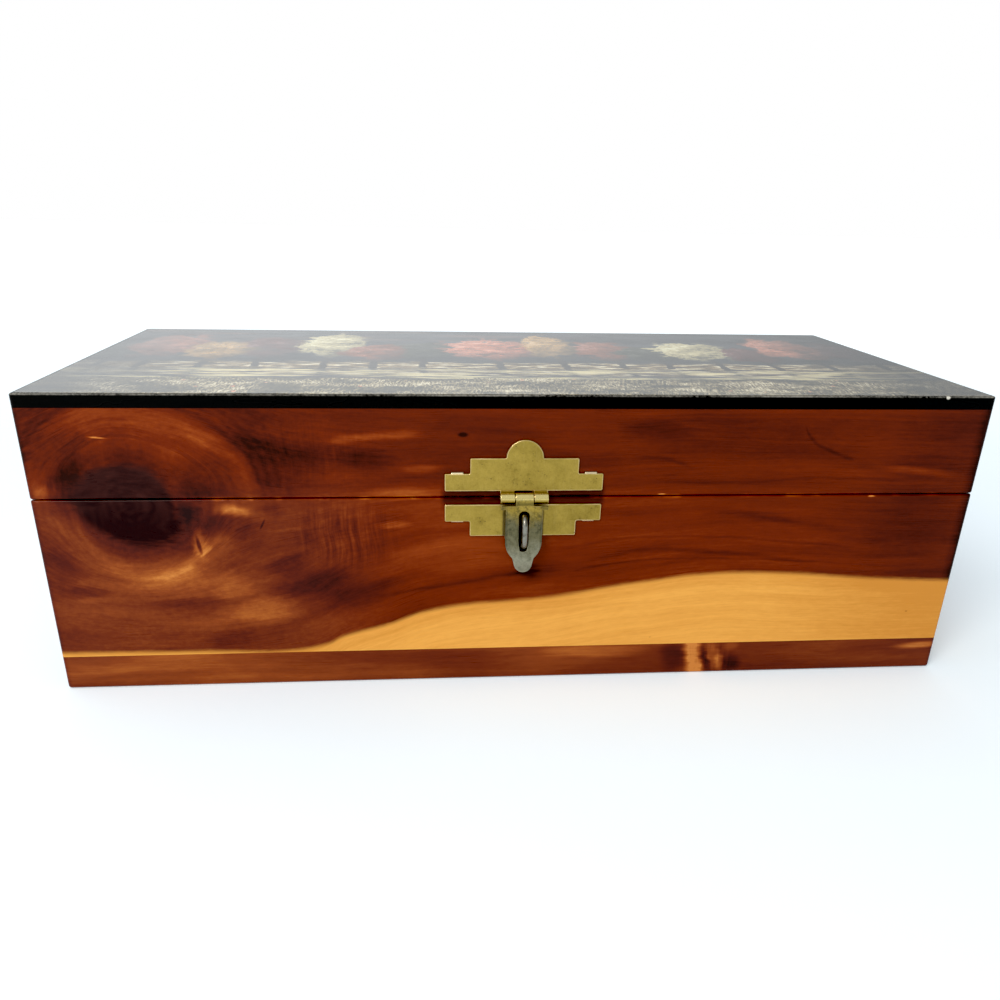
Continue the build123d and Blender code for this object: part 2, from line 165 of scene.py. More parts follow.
class Graph:
    """The node tree of a material or of the world, written as expressions."""

    def __init__(self, owner: bpy.types.Material | bpy.types.World) -> None:
        """Start with an empty tree.

        Args:
            owner: the material or world that the tree belongs to.
        """
        self.owner = owner
        owner.use_nodes = True
        self.tree = owner.node_tree
        self.tree.nodes.clear()

    @classmethod
    def material(cls, name: str) -> "Graph":
        """The graph of a new material of that name."""
        return cls(bpy.data.materials.new(name))

    def add(self, kind: str, settings: dict[str, Any] | None = None,
            sockets: dict[int | str, Any] | None = None, out: int | str = 0) -> Signal:
        """Add a node of any type.

        Args:
            kind: the node's type name.
            settings: its properties, set first; stops fills a colour ramp and points a float curve.
            sockets: input name or number, with the value or signal that it gets.
            out: the output to give back.

        Returns:
            That output as a signal.
        """
        node = self.tree.nodes.new(kind)
        for key, value in (settings or {}).items():
            if key == "stops":
                self._fill_ramp(node.color_ramp, value)
            elif key == "points":
                self._fill_curve(node.mapping, value)
            else:
                setattr(node, key, value)
        for key, value in (sockets or {}).items():
            if isinstance(value, Signal):
                self.tree.links.new(value.socket, node.inputs[key])
            else:
                node.inputs[key].default_value = value
        return Signal(self, node.outputs[out]) if len(node.outputs) else Signal(self, None)

    @staticmethod
    def _fill_ramp(ramp: Any, stops: Stops) -> None:
        """Put stops on a colour ramp.

        Args:
            ramp: the node's ramp.
            stops: position and colour of each stop.
        """
        while len(ramp.elements) < len(stops):
            ramp.elements.new(1.0)
        for element, (position, colour) in zip(ramp.elements, stops):
            element.position = position
            element.color = (*colour, 1.0)

    @staticmethod
    def _fill_curve(mapping: Any, points: list[Point]) -> None:
        """Put points on a float curve.

        Args:
            mapping: the node's curve mapping.
            points: places on the curve, from 0 to 1 both ways.
        """
        curve = mapping.curves[0]
        while len(curve.points) < len(points):
            curve.points.new(0.5, 0.5)
        for knot, point in zip(curve.points, points):
            knot.location = point
        mapping.update()

    def millimetres(self) -> tuple[Signal, Signal, Signal]:
        """Object coordinates in millimetres.

        Returns:
            X, Y and Z.
        """
        place = self.add("ShaderNodeTexCoord", out="Object")
        scaled = self.add("ShaderNodeVectorMath", {"operation": "SCALE"}, {0: place, "Scale": 1000.0})
        first = self.add("ShaderNodeSeparateXYZ", {}, {"Vector": scaled}, out="X")
        return first, first.sibling("Y"), first.sibling("Z")

    def join(self, x: Signal | float, y: Signal | float, z: Signal | float) -> Signal:
        """A vector of three values."""
        return self.add("ShaderNodeCombineXYZ", {}, {"X": x, "Y": y, "Z": z})

    def noise(self, vector: Signal, detail: float = 2.0, rough: float = 0.5) -> Signal:
        """Soft noise from 0 to 1 at a place that is already scaled."""
        return self.add("ShaderNodeTexNoise", {"noise_dimensions": "3D"},
                        {"Vector": vector, "Scale": 1.0, "Detail": detail, "Roughness": rough})

    def cloud(self, place: tuple[Signal, Signal, Signal], size: float, detail: float = 2.0,
              rough: float = 0.5) -> Signal:
        """Soft noise from 0 to 1 that is equally coarse each way, its size in millimetres."""
        return self.noise(self.join(*(part / size for part in place)), detail, rough)

    def cells(self, vector: Signal) -> Signal:
        """Distance to the middle of a Voronoi cell at a place that is already scaled."""
        return self.add("ShaderNodeTexVoronoi", {"feature": "F1"}, {"Vector": vector, "Scale": 1.0},
                        out="Distance")

    def step(self, low: float, high: float, value: Signal) -> Signal:
        """Smooth step: 0 at low and 1 at high, or falling where low is the larger."""
        return self.add("ShaderNodeMapRange", {"interpolation_type": "SMOOTHSTEP"},
                        {"Value": value, "From Min": low, "From Max": high})

    def window(self, value: Signal, rise: Point, fall: Point) -> Signal:
        """1 on a stretch of the value: it rises over one pair of places and falls over the other."""
        return self.step(*rise, value) * self.step(*fall, value)

    def curve(self, value: Signal, points: tuple[Point, ...], top: float) -> Signal:
        """A smooth curve through given points.

        Args:
            value: the place along it, in the units of the points.
            points: places and heights; heights run from 0 to top.
            top: the height that the curve's own scale ends at.

        Returns:
            The height at that place.
        """
        start, end = points[0][0], points[-1][0]
        share = self.add("ShaderNodeMapRange", {}, {"Value": value, "From Min": start, "From Max": end})
        unit = [((a - start) / (end - start), b / top) for a, b in points]
        return self.add("ShaderNodeFloatCurve", {"points": unit}, {"Value": share}) * top

    def mix(self, factor: Signal | float, first: Any, second: Any) -> Signal:
        """First colour where the factor is 0, second where it is 1."""
        first, second = ((*c, 1.0) if isinstance(c, tuple) else c for c in (first, second))
        return self.add("ShaderNodeMix", {"data_type": "RGBA"}, {0: factor, 6: first, 7: second}, out=2)

    def ramp(self, value: Signal, stops: Stops) -> Signal:
        """Colour from a value through a ramp's stops."""
        return self.add("ShaderNodeValToRGB", {"stops": stops}, {"Fac": value})

    def bump(self, height: Signal, depth: float, strength: float = 1.0) -> Signal:
        """Normal of a surface with relief; depth in millimetres for a height of 1."""
        return self.add("ShaderNodeBump", {},
                        {"Height": height, "Distance": depth * MM, "Strength": strength})

    def finish(self, sockets: dict[str, Any]) -> bpy.types.Material:
        """Close the graph with one Principled shader.

        Args:
            sockets: the shader's sockets with signals for what varies and numbers for what doesn't.

        Returns:
            The finished material.
        """
        shader = self.add("ShaderNodeBsdfPrincipled", {}, sockets)
        self.add("ShaderNodeOutputMaterial", {}, {"Surface": shader})
        return self.owner


# Finishes


@dataclass(frozen=True)
class Knot:
    """A knot on a board's face: its middle, its dark heart and the reach of the rings around it.

    Sides of (direction in degrees, distance) give the heart an angular outline; without them it is round.
    """

    along: float
    up: float
    heart: float
    reach: float
    stretch: float = 1.0
    sides: tuple[Point, ...] = ()


@dataclass(frozen=True)
class Blot:
    """A soft oval of lighter or darker wood: middle, half sizes, turn in degrees and change of tone."""

    along: float
    up: float
    half_along: float
    half_up: float
    turn: float
    tone: float


@dataclass(frozen=True)
class Streak:
    """A band of lighter or darker wood along a curve of points (along, up), with its half width."""

    points: tuple[Point, ...]
    half_width: float
    tone: float
    fade: float = 6.0


@dataclass(frozen=True)
class CedarFigure:
    """What is drawn in one board's wood.

    Lengths run along the grain and heights up the face. Sapwood lies under a curve, a band of soiling and
    painted shade along one, and golden is the pair of lengths over which the golden tint comes in. Drift
    shakes the larger blots, skin is how deep they go from the front, end_face is where the ends start to
    darken, as end grain with painted shade on the rounded corners, end_shade adds painted shade at the right
    end and calm below 1 quiets the grain for a broken one.
    """

    name: str
    grain: GrainAxis
    seed: float
    tone: float = 0.45
    knots: tuple[Knot, ...] = ()
    sapwood: tuple[Point, ...] = ()
    blots: tuple[Blot, ...] = ()
    streaks: tuple[Streak, ...] = ()
    ripple: tuple[Blot, ...] = ()
    dirt: tuple[Point, ...] = ()
    golden: tuple[float, ...] = ()
    drift: float = 0.0
    skin: float = FAR
    ring_tilt: float = 0.5
    end_face: float = HALF_WIDTH
    end_shade: float = 0.0
    calm: float = 1.0


FRONT_FIGURE = CedarFigure(
    name="cedar_front", grain=GrainAxis.ALONG_X, seed=3.0, tone=0.43, calm=0.72, drift=8.0,
    golden=(-25.0, -60.0), end_shade=0.24,
    knots=(
        Knot(-92.4, 49.0, 10.0, 17.0, 0.8, (
            (90, 9.7), (31, 10.3), (-4, 11.0), (-81, 11.0), (-113, 9.7), (-140, 10.8), (137, 11.8))),
    ),
    sapwood=(
        (-HALF_WIDTH, 9.8), (-81.0, 9.45), (-60.0, 9.1), (-51.0, 10.3), (-44.0, 13.4), (-33.0, 16.4),
        (-24.0, 19.7), (-12.7, 21.6), (8.0, 23.2), (30.0, 26.6), (50.0, 29.0), (70.0, 28.6), (90.0, 27.2),
        (HALF_WIDTH, 26.2),
    ),
    blots=(
        Blot(-68.9, 47.3, 4.6, 2.2, -8, 0.42),
        Blot(-76.3, 39.2, 2.3, 5.4, -10, 0.36),
        Blot(-82.0, 28.6, 17.0, 5.0, 3, 0.12),
        Blot(-70.0, 27.2, 6.5, 3.6, 10, 0.18),
        Blot(-62.5, 20.5, 10.0, 5.2, 5, 0.29),
        Blot(-71.0, 20.8, 6.0, 2.6, 0, 0.12),
        Blot(-109.8, 52.6, 3.2, 1.9, 10, 0.26),
        Blot(-104.0, 24.6, 5.6, 1.2, 2, 0.16),
        Blot(-50.0, 60.5, 15.0, 11.0, 20, -0.03),
        Blot(-73.0, 66.8, 10.0, 3.6, -12, 0.12),
        Blot(-106.5, 60.5, 9.0, 11.0, 0, -0.31),
        Blot(-88.0, 22.0, 36.0, 17.0, 0, 0.09),
        Blot(-43.0, 42.0, 18.0, 12.0, 0, -0.05),
        Blot(-79.0, 33.6, 4.6, 3.6, 30, 0.05),
        Blot(-50.5, 28.0, 13.0, 5.6, 8, -0.26),
        Blot(-40.0, 24.5, 13.0, 4.6, 20, -0.20),
        Blot(-66.0, 40.0, 5.0, 4.5, 30, -0.12),
        Blot(-59.6, 47.6, 3.6, 2.4, 0, -0.16),
        Blot(-71.0, 51.7, 10.0, 1.7, 0, -0.10),
        Blot(-77.6, 50.0, 5.0, 5.5, 0, -0.16),
        Blot(-73.5, 55.8, 10.0, 6.5, -20, -0.30),
        Blot(-75.5, 45.8, 7.5, 5.6, 0, -0.16),
        Blot(-70.0, 43.8, 6.5, 4.4, 0, -0.22),
        Blot(-57.0, 33.4, 8.0, 3.6, 10, -0.22),
        Blot(-61.0, 58.0, 5.0, 9.0, 20, -0.04),
        Blot(-110.6, 34.0, 6.0, 10.0, 0, -0.15),
        Blot(-105.0, 26.8, 7.5, 1.9, -2, -0.16),
        Blot(-80.0, 23.2, 12.0, 2.4, 0, -0.17),
        Blot(-72.0, 13.2, 8.0, 2.6, 4, -0.14),
        Blot(-96.0, 17.0, 18.0, 4.0, 0, -0.05),
        Blot(-16.0, 36.0, 26.0, 7.5, 7, 0.11),
        Blot(-20.0, 45.5, 12.0, 4.5, 0, 0.07),
        Blot(-31.5, 43.3, 5.5, 1.2, 3, 0.26),
        Blot(-24.5, 57.3, 6.0, 1.4, 3, 0.25),
        Blot(-29.0, 51.4, 12.0, 1.9, 2, 0.24),
        Blot(-37.0, 59.5, 8.0, 3.6, 0, -0.14),
        Blot(-14.8, 65.6, 1.5, 0.75, 0, -0.42),
        Blot(31.7, 66.8, 11.0, 3.4, -4, -0.13),
        Blot(24.0, 62.0, 18.0, 2.2, 0, 0.06),
        Blot(36.0, 41.5, 20.0, 4.5, 0, 0.05),
        Blot(98.0, 44.0, 26.0, 14.0, 0, -0.09),
        # darker over the whole right end: partly the wood's tone, partly painted shade where the light falls
        # off
        Blot(108.0, 46.0, 22.0, 44.0, 0, -0.13),
        Blot(20.0, 64.0, 130.0, 14.0, 0, -0.13),
        Blot(52.0, 62.0, 26.0, 12.0, 0, -0.05),
        Blot(-92.0, 64.0, 14.0, 5.0, 0, -0.05),
        Blot(-77.9, 38.6, 0.6, 2.8, 10, -0.55),
        Blot(-62.4, 43.8, 0.35, 1.9, -28, -0.32),
        Blot(-97.0, 65.0, 2.6, 0.30, -5, 0.60),
        Blot(34.0, 50.75, 1.3, 0.26, 0, 0.60),
        Blot(88.0, 49.8, 1.3, 0.30, 0, 0.60),
        Blot(4.0, 30.6, 9.0, 3.6, 12, -0.12),
        # painted shade on the wood under the strap, and below it to the right the painted shadow of the
        # strap's tip
        Blot(0.0, 38.6, 2.6, 4.0, 0, -0.40),
        Blot(1.8, 30.6, 3.2, 2.6, 0, -0.22),
    ),
    streaks=(
        Streak(((-106.6, 48.6), (-104.8, 44.0), (-101.8, 37.6), (-96.8, 33.0), (-89.3, 30.9), (-82.7, 31.7),
                (-78.0, 34.6)), 4.2, 0.16, 2.5),
        Streak(((-38.0, 23.6), (-24.0, 26.4), (-8.0, 29.0), (6.0, 31.0)), 0.9, -0.15, 10.0),
        Streak(((12.0, 31.8), (22.0, 34.6), (32.0, 36.0), (50.0, 35.0), (80.0, 31.0)), 1.2, -0.17, 14.0),
        Streak(((6.0, 35.4), (20.0, 38.4), (38.0, 39.4), (60.0, 38.6), (90.0, 35.4)), 0.6, -0.11, 14.0),
        Streak(((8.0, 29.2), (24.0, 32.4), (44.0, 33.4), (66.0, 32.6), (100.0, 30.4)), 0.5, -0.12, 14.0),
        Streak(((30.0, 54.2), (52.0, 53.6), (76.0, 54.6), (104.0, 52.8)), 0.7, -0.09, 14.0),
        Streak(((40.0, 46.6), (58.0, 45.2), (72.0, 42.4), (86.0, 40.0)), 1.8, -0.12, 12.0),
        Streak(((-48.5, 64.0), (-40.0, 64.8), (-32.0, 65.6), (-22.0, 65.8)), 1.7, 0.34, 7.0),
        Streak(((84.0, 57.8), (95.0, 56.8), (105.0, 55.6), (HALF_WIDTH, 54.0)), 1.5, 0.28, 11.0),
        Streak(((67.2, 69.5), (67.9, 67.0), (70.0, 64.4), (74.5, 61.6), (82.0, 59.0)), 0.9, -0.13, 1.5),
        Streak(((25.0, 60.2), (32.0, 59.8), (37.0, 59.0), (42.0, 57.0)), 1.0, -0.13, 4.0),
    ),
    # dark band along the seam between the hasp's plates: soiling with painted shade
    dirt=((-20.4, 50.3), (-7.0, 50.3), (7.0, 50.3), (20.4, 50.3)),
    ripple=(Blot(-43.0, 41.0, 15.0, 11.0, 0, 1.0), Blot(-50.0, 61.0, 20.0, 12.0, 0, 0.34)),
)

BACK_FIGURE = CedarFigure(
    name="cedar_back", grain=GrainAxis.ALONG_X, seed=41.0, tone=0.46,
    knots=(Knot(38.0, 27.0, 4.6, 8.5, 0.8), Knot(-58.0, 60.5, 3.0, 6.0, 0.85)),
    sapwood=((-HALF_WIDTH, 21.0), (-70.0, 18.5), (-25.0, 14.0), (10.0, 10.5), (40.0, 8.0),
             (HALF_WIDTH, 6.0)),
    blots=(Blot(-30.0, 40.0, 34.0, 7.0, 4, -0.16), Blot(75.0, 58.0, 30.0, 6.0, -3, 0.15),
           Blot(85.0, 22.0, 26.0, 5.0, 2, 0.14), Blot(10.0, 66.0, 22.0, 4.0, 0, -0.12)),
)

LEFT_FIGURE = CedarFigure(
    name="cedar_left", grain=GrainAxis.ALONG_Y, seed=87.0, tone=0.45,
    knots=(Knot(-12.0, 34.0, 4.2, 8.0, 0.8),),
    sapwood=((-HALF_DEPTH, 8.0), (-15.0, 9.0), (10.0, 13.0), (30.0, 17.0), (HALF_DEPTH, 19.5)),
    blots=(Blot(20.0, 52.0, 22.0, 6.0, 5, 0.15), Blot(-30.0, 62.0, 18.0, 4.0, 0, -0.15),
           Blot(28.0, 30.0, 14.0, 4.0, -5, -0.12)),
    end_face=FAR,
)

RIGHT_FIGURE = CedarFigure(
    name="cedar_right", grain=GrainAxis.ALONG_Y, seed=131.0, tone=0.43,
    knots=(Knot(16.0, 59.0, 3.4, 7.0, 0.8),),
    sapwood=((-HALF_DEPTH, 27.0), (-25.0, 24.5), (0.0, 19.0), (25.0, 13.0), (HALF_DEPTH, 8.0)),
    blots=(Blot(-18.0, 46.0, 20.0, 5.0, -4, -0.14), Blot(25.0, 30.0, 18.0, 6.0, 3, 0.15)),
    end_face=FAR,
)

BOTTOM_FIGURE = CedarFigure(
    name="cedar_bottom_board", grain=GrainAxis.ALONG_X, seed=211.0, tone=0.40, ring_tilt=0.3,
    golden=(FAR, FAR - 1.0), drift=3.0, skin=4.0,
    blots=(
        Blot(47.2, 4.5, 3.0, 16.0, 14, 0.62),
        Blot(52.6, 5.4, 2.2, 5.6, 24, 0.34),
        Blot(54.6, 3.0, 1.5, 3.6, 12, 0.26),
        Blot(41.4, 5.2, 4.2, 6.4, 10, -0.24),
        Blot(57.6, 2.4, 3.6, 3.4, 10, -0.30),
        Blot(50.6, 3.4, 1.5, 5.0, 22, -0.30),
        Blot(57.0, 7.8, 2.6, 1.8, 0, 0.20),
        Blot(20.0, 7.4, 18.0, 2.4, -1, 0.26),
        Blot(110.0, 6.9, 9.0, 1.3, 3, 0.56),
        Blot(-86.0, 5.0, 48.0, 9.0, 0, 0.25),
        Blot(-40.0, 3.0, 24.0, 3.0, 2, 0.08),
        Blot(0.0, 4.5, 60.0, 12.0, 0, 0.11),
        Blot(84.0, 3.5, 20.0, 5.0, 0, 0.05),
    ),
    ripple=(Blot(51.0, 4.5, 10.0, 9.0, 0, 0.55),),
)


@dataclass(frozen=True)
class Around:
    """A place about a knot: distance from its middle, height above it and the distance of its heart."""

    knot: Knot
    radius: Signal
    above: Signal
    heart: Signal


@dataclass(frozen=True)
class Wood:
    """The signals that one board's wood is drawn from.

    Along, up and deep are the place in millimetres. Wander and drift are noise about 0, slow and quick.
    Broad, lines, fibre and fleck are noise from 0 to 1 along the grain, and edge is the sapwood's height.
    """

    g: Graph
    along: Signal
    up: Signal
    deep: Signal
    wander: Signal
    broad: Signal
    lines: Signal
    fibre: Signal
    fleck: Signal
    drift: Signal
    edge: Signal | None
    knots: tuple[Around, ...]


@dataclass(frozen=True)
class CedarFinish:
    """Red cedar under a thin varnish, raw on the inside of the box.

    Pairs are the places over which something comes in: the pull of the sapwood's edge on the grain above
    it, the sapwood's darker tone to the right, partly painted shade, the patches and mottles of a broken
    grain and the golden tint.
    """

    figure: CedarFigure
    seam: float = SEAM
    half_depth: float = HALF_DEPTH
    half_width: float = HALF_WIDTH
    inner_x: float = 107.0
    inner_y: float = 43.5
    wall_low: float = 9.0
    dirt_half: float = 4.2
    dirt_fade: float = 1.6
    loose_size: float = 1.4
    ring_reach: float = 17.0
    curve_top: float = 80.0
    sap_top: float = 40.0
    sap_pull: Point = (68.0, 22.0)
    sap_shade: Point = (60.0, 118.0)
    patched: Point = (-30.0, -66.0)
    mottled: Point = (-10.0, -60.0)
    golden_up: Point = (58.0, 46.0)
    heart: Stops = (
        (0.00, (0.021, 0.0045, 0.0024)),
        (0.20, (0.075, 0.0105, 0.0045)),
        (0.45, (0.150, 0.0195, 0.0042)),
        (0.65, (0.235, 0.0400, 0.0075)),
        (0.85, (0.370, 0.0920, 0.0165)),
        (1.00, (0.560, 0.1900, 0.0400)),
    )
    golden: Colour = (0.0, 0.0110, 0.0065)
    violet: Colour = (0.0, 0.0030, 0.0045)
    sap_light: Colour = (0.775, 0.365, 0.075)
    sap_dark: Colour = (0.590, 0.240, 0.040)
    knot_dark: Colour = (0.0105, 0.0026, 0.0028)
    knot_ring: Colour = (0.0640, 0.0190, 0.0150)
    speck: Colour = (0.150, 0.0195, 0.0042)
    raw: Colour = (0.46, 0.20, 0.10)

    def axes(self, g: Graph) -> tuple[Signal, Signal, Signal]:
        """The place along the grain, up the face and through the board, in millimetres."""
        x, y, z = g.millimetres()
        return (x, z, y) if self.figure.grain is GrainAxis.ALONG_X else (y, z, x)

    @staticmethod
    def oval(g: Graph, along: Signal, up: Signal, blot: Blot) -> Signal:
        """Height of a soft oval: 1 in its middle, 0 at its edge, by a smooth step on the turned distance.

        Args:
            g: the graph.
            along: length on the face.
            up: height on the face.
            blot: the oval.

        Returns:
            The height.
        """
        turn = math.radians(blot.turn)
        a = (along - blot.along) * (math.cos(turn) / blot.half_along) \
            + (up - blot.up) * (math.sin(turn) / blot.half_along)
        b = (up - blot.up) * (math.cos(turn) / blot.half_up) \
            - (along - blot.along) * (math.sin(turn) / blot.half_up)
        return g.step(1.1, 0.3, (a * a + b * b).sqrt())

    @staticmethod
    def angular(along: Signal, up: Signal, knot: Knot) -> Signal:
        """Distance from a knot's middle by its sides, which is the heart's radius on the outline.

        Each side gives the share of its distance that the place has gone towards it. The shares, none
        below 0, are summed at the 7th power, and the root of the sum rounds the corners.

        Args:
            along: length from the knot's middle.
            up: height above it.
            knot: the knot.

        Returns:
            The distance.
        """
        total = None
        for turn, away in knot.sides:
            c, s = math.cos(math.radians(turn)) / away, math.sin(math.radians(turn)) / away
            share = (along * c + up * s).at_least(0.0) ** 7
            total = share if total is None else total + share
        return total ** (1 / 7) * knot.heart

    def band(self, g: Graph, along: Signal, up: Signal, streak: Streak) -> Signal:
        """Height of a streak: 1 on its curve, 0 at its half width, fading at its two ends.

        Args:
            g: the graph.
            along: length on the face.
            up: height on the face.
            streak: the streak.

        Returns:
            The height.
        """
        line = g.curve(along, streak.points, self.curve_top)
        start, end = streak.points[0][0], streak.points[-1][0]
        ends = g.window(along, (start, start + streak.fade), (end, end - streak.fade))
        return g.step(streak.half_width, 0.0, abs(up - line)) * ends

    @property
    def half_through(self) -> float:
        """Half the box's size across the board, where the board's outer face lies."""
        return self.half_depth if self.figure.grain is GrainAxis.ALONG_X else self.half_width

    def grain(self, g: Graph) -> Wood:
        """Lay the grain through the board.

        Its lines are those of a stream that parts round each knot: with r the distance from the knot and R
        its reach, height h above it becomes h (1 - R^2 / r^2) and length l becomes l (1 + R^2 / r^2).
        Noise stretched along these lines gives bands, growth lines, fibre and flecks.

        Args:
            g: the graph.

        Returns:
            The signals that the wood is drawn from.
        """
        fig = self.figure
        along, up, deep = self.axes(g)
        wander = g.noise(g.join(along / 46.0 + fig.seed, deep / 46.0, up / 15.0), 2.0) - 0.5
        flow_along, flow_up = along, up + wander * 5.0 + deep * fig.ring_tilt
        edge = None
        if fig.sapwood:
            edge = g.curve(along, fig.sapwood, self.sap_top)
            flow_up = flow_up - (edge - self.wall_low) * g.step(*self.sap_pull, up) * 0.9
        knots = []
        for knot in fig.knots:
            right = g.step(-8.0, 16.0, along - knot.along)
            a = (along - knot.along) * (1.0 - right * (1.0 - knot.stretch))
            b = up - knot.up
            radius = (a * a + b * b).sqrt()
            part = (knot.reach ** 2) / (radius * radius).at_least(0.85 * knot.reach ** 2)
            flow_along = flow_along + a * part
            flow_up = flow_up - b * part
            heart = self.angular(along - knot.along, b, knot) if knot.sides else radius
            knots.append(Around(knot, radius + wander * 2.2, b, heart + wander * 2.2))
        return Wood(
            g, along, up, deep, wander,
            broad=g.noise(g.join(flow_along / 34.0, deep / 40.0 + fig.seed, flow_up / 4.6), 3.0),
            lines=g.noise(g.join(flow_along / 130.0 + fig.seed, deep / 25.0, flow_up / 1.15), 3.0, 0.55),
            fibre=g.noise(g.join(flow_along / 8.0, deep / 1.2, flow_up / 0.24 + fig.seed), 2.0, 0.6),
            fleck=g.noise(g.join(flow_along / 2.6, deep / 2.0 + 9.0, flow_up / 0.62), 2.0, 0.6),
            drift=g.noise(g.join(flow_along / 11.0, deep / 9.0 + 5.0, flow_up / 2.6), 3.0, 0.6) - 0.5,
            edge=edge, knots=tuple(knots))

    def blots(self, w: Wood) -> Signal:
        """Sum of the figure's soft ovals; the large ones are shaken by the drift.

        Args:
            w: the wood.

        Returns:
            The change of tone.
        """
        fig, half = self.figure, self.half_through
        loose = (w.along + w.drift * fig.drift, w.up + (w.drift + w.lines - 0.5) * (0.35 * fig.drift))
        firm = (w.along + w.wander * 2.0, w.up)
        drawn = None
        for blot in fig.blots:
            large = min(blot.half_along, blot.half_up) > self.loose_size and fig.drift > 0.0
            part = self.oval(w.g, *(loose if large else firm), blot) * blot.tone
            drawn = part if drawn is None else drawn + part
        return drawn * w.g.step(half - fig.skin, half - 0.5 * fig.skin, w.deep * -1.0)

    def tone(self, w: Wood) -> Signal:
        """Sum of the grain and of all that the figure draws on it, dark at 0 and light at 1.

        Args:
            w: the wood.

        Returns:
            The tone.
        """
        fig, g = self.figure, w.g
        figured = (w.broad - 0.5) * 0.62 + (w.lines - 0.5) * 0.20
        if fig.calm < 1.0:
            patch = g.noise(g.join(w.along / 12.0, w.deep / 30.0, w.up / 6.0 + 3.0), 3.0, 0.55) - 0.5
            figured = figured * fig.calm + patch * (g.step(*self.patched, w.along) * 0.16 + 0.10) \
                + (w.lines - 0.5) * g.step(self.seam, self.seam + 1.0, w.up) * 0.14
            mottle = g.noise(g.join(w.along / 1.7, w.deep / 3.0, w.up / 1.1 + 6.0), 3.0, 0.65) - 0.5
            figured = figured + mottle * (g.step(*self.mottled, w.along) * 0.18 + 0.08)
        tone = figured + (w.fibre - 0.5) * 0.12 + (w.fleck - 0.5) * 0.15 + fig.tone + self.blots(w)
        for streak in fig.streaks:
            tone = tone + self.band(g, w.along, w.up + w.drift * 1.6, streak) * streak.tone
        for blot in fig.ripple:
            wave = g.noise(g.join(w.along / 0.8 + w.wander * 4.0, w.deep / 9.0, w.up / 9.0), 2.0) - 0.5
            tone = tone + self.oval(g, w.along, w.up, blot) * wave * (0.62 * blot.tone)
        for around in w.knots:
            tone = tone + self.knot_rings(w, around)
        return tone + self.wear(w)

    def knot_rings(self, w: Wood, around: Around) -> Signal:
        """Light rings round a knot, wide above it and narrow below, and the reddish shade next to it.

        Their sizes are those of a knot that reaches ring_reach, and go with the knot's own reach.

        Args:
            w: the wood.
            around: the place about the knot.

        Returns:
            The change of tone.
        """
        g, b = w.g, around.above
        radius = around.radius + w.drift * 2.6
        size = around.knot.reach / self.ring_reach
        low = g.step(4.0 * size, -9.0 * size, b)
        inner = g.step(5.0 * size, 0.0, abs(radius - 18.0 * size)) * low
        high = g.step(-2.0 * size, 8.0 * size, b)
        outer = g.window(radius, (13.0 * size, 20.5 * size), (25.4 * size, 22.0 * size)) * high
        beyond = g.window(radius, (22.6 * size, 25.6 * size), (42.0 * size, 26.0 * size)) * high
        shade = g.step(16.0 * size, 10.5 * size, around.heart)
        rings = (radius * (2 * math.pi / (1.7 * size))).sin() * g.step(40.0 * size, 14.0 * size, radius)
        return inner * 0.11 + outer * 0.16 - beyond * 0.17 - shade * 0.21 + rings * (beyond * 0.05 + 0.018)

    def wear(self, w: Wood) -> Signal:
        """Soiling and painted shade behind the metal, wear and a painted highlight along the seam, and darker
        ends.

        Args:
            w: the wood.

        Returns:
            The change of tone.
        """
        fig, g, half = self.figure, w.g, self.half_through
        face = g.step(half - 1.0, half - 0.2, abs(w.deep))
        # lighter in patches along the seam's edges: wear with a painted highlight
        seam_wear_and_highlight = g.noise(g.join(w.along / 5.0 + fig.seed, w.deep / 5.0, w.up / 5.0), 3.0, 0.6)
        change = g.step(0.75, 0.25, abs(w.up - self.seam)) * g.step(0.46, 0.68, seam_wear_and_highlight) * face * 0.30
        # a dark band along the given curve: soiling with painted shade between the hasp's plates
        if fig.dirt:
            dirt = Streak(fig.dirt, self.dirt_half, 0.0, self.dirt_fade)
            change = change - self.band(g, w.along, w.up, dirt) * face * 0.42
        # the ends darken: end grain, with painted shade on the rounded corners
        change = change - g.step(fig.end_face - 1.5, fig.end_face - 0.1, abs(w.along)) * 0.22
        # end_shade: painted shade at the right end, where the light falls off
        return change - g.step(fig.end_face - 3.6, fig.end_face - 0.3, w.along) * fig.end_shade

    def with_knot(self, w: Wood, colour: Signal, around: Around) -> Signal:
        """A knot's dark heart with faint broken rings, a painted sheen on its upper part and a soft ragged
        rim.

        Args:
            w: the wood.
            colour: the colour around the knot.
            around: the place about the knot.

        Returns:
            The colour with the knot.
        """
        g, size = w.g, around.knot.heart
        ragged = w.fibre + w.broad
        rings = (around.radius * (2 * math.pi / 2.1) + ragged * 2.4).sin() * 0.5 + 0.5
        seen = g.step(size * 0.72, size * 0.5, around.radius)
        # lighter towards the knot's top: a painted sheen, with its faint rings
        lit = g.step(-0.9 * size, 0.7 * size, around.above) * 0.45 + rings * seen * 0.13
        lit = (lit + (ragged - 1.0) * 0.9).between(0.0, 1.0)
        inside = g.step(size + 1.2, size - 1.6, around.heart + (ragged - 1.0) * 3.0)
        return g.mix(inside * 0.95, colour, g.mix(lit, self.knot_dark, self.knot_ring))

    def with_sapwood(self, w: Wood, colour: Signal) -> Signal:
        """Pale sapwood under a given edge, with darker streaks close to that edge, a few specks and a darker
        tone to the right that is partly painted shade.

        Args:
            w: the wood.
            colour: the heartwood's colour.

        Returns:
            The colour of the whole face.
        """
        g = w.g
        edge = w.edge + w.wander * 1.3
        fibre = w.fibre + w.fleck - 0.5
        near = g.step(6.0, 0.0, edge - w.up)
        shade = (w.lines - 0.5) * 0.9 + (fibre - 0.5) * 0.6 + (w.broad - 0.5) * 0.8 + near * 0.40 + 0.20
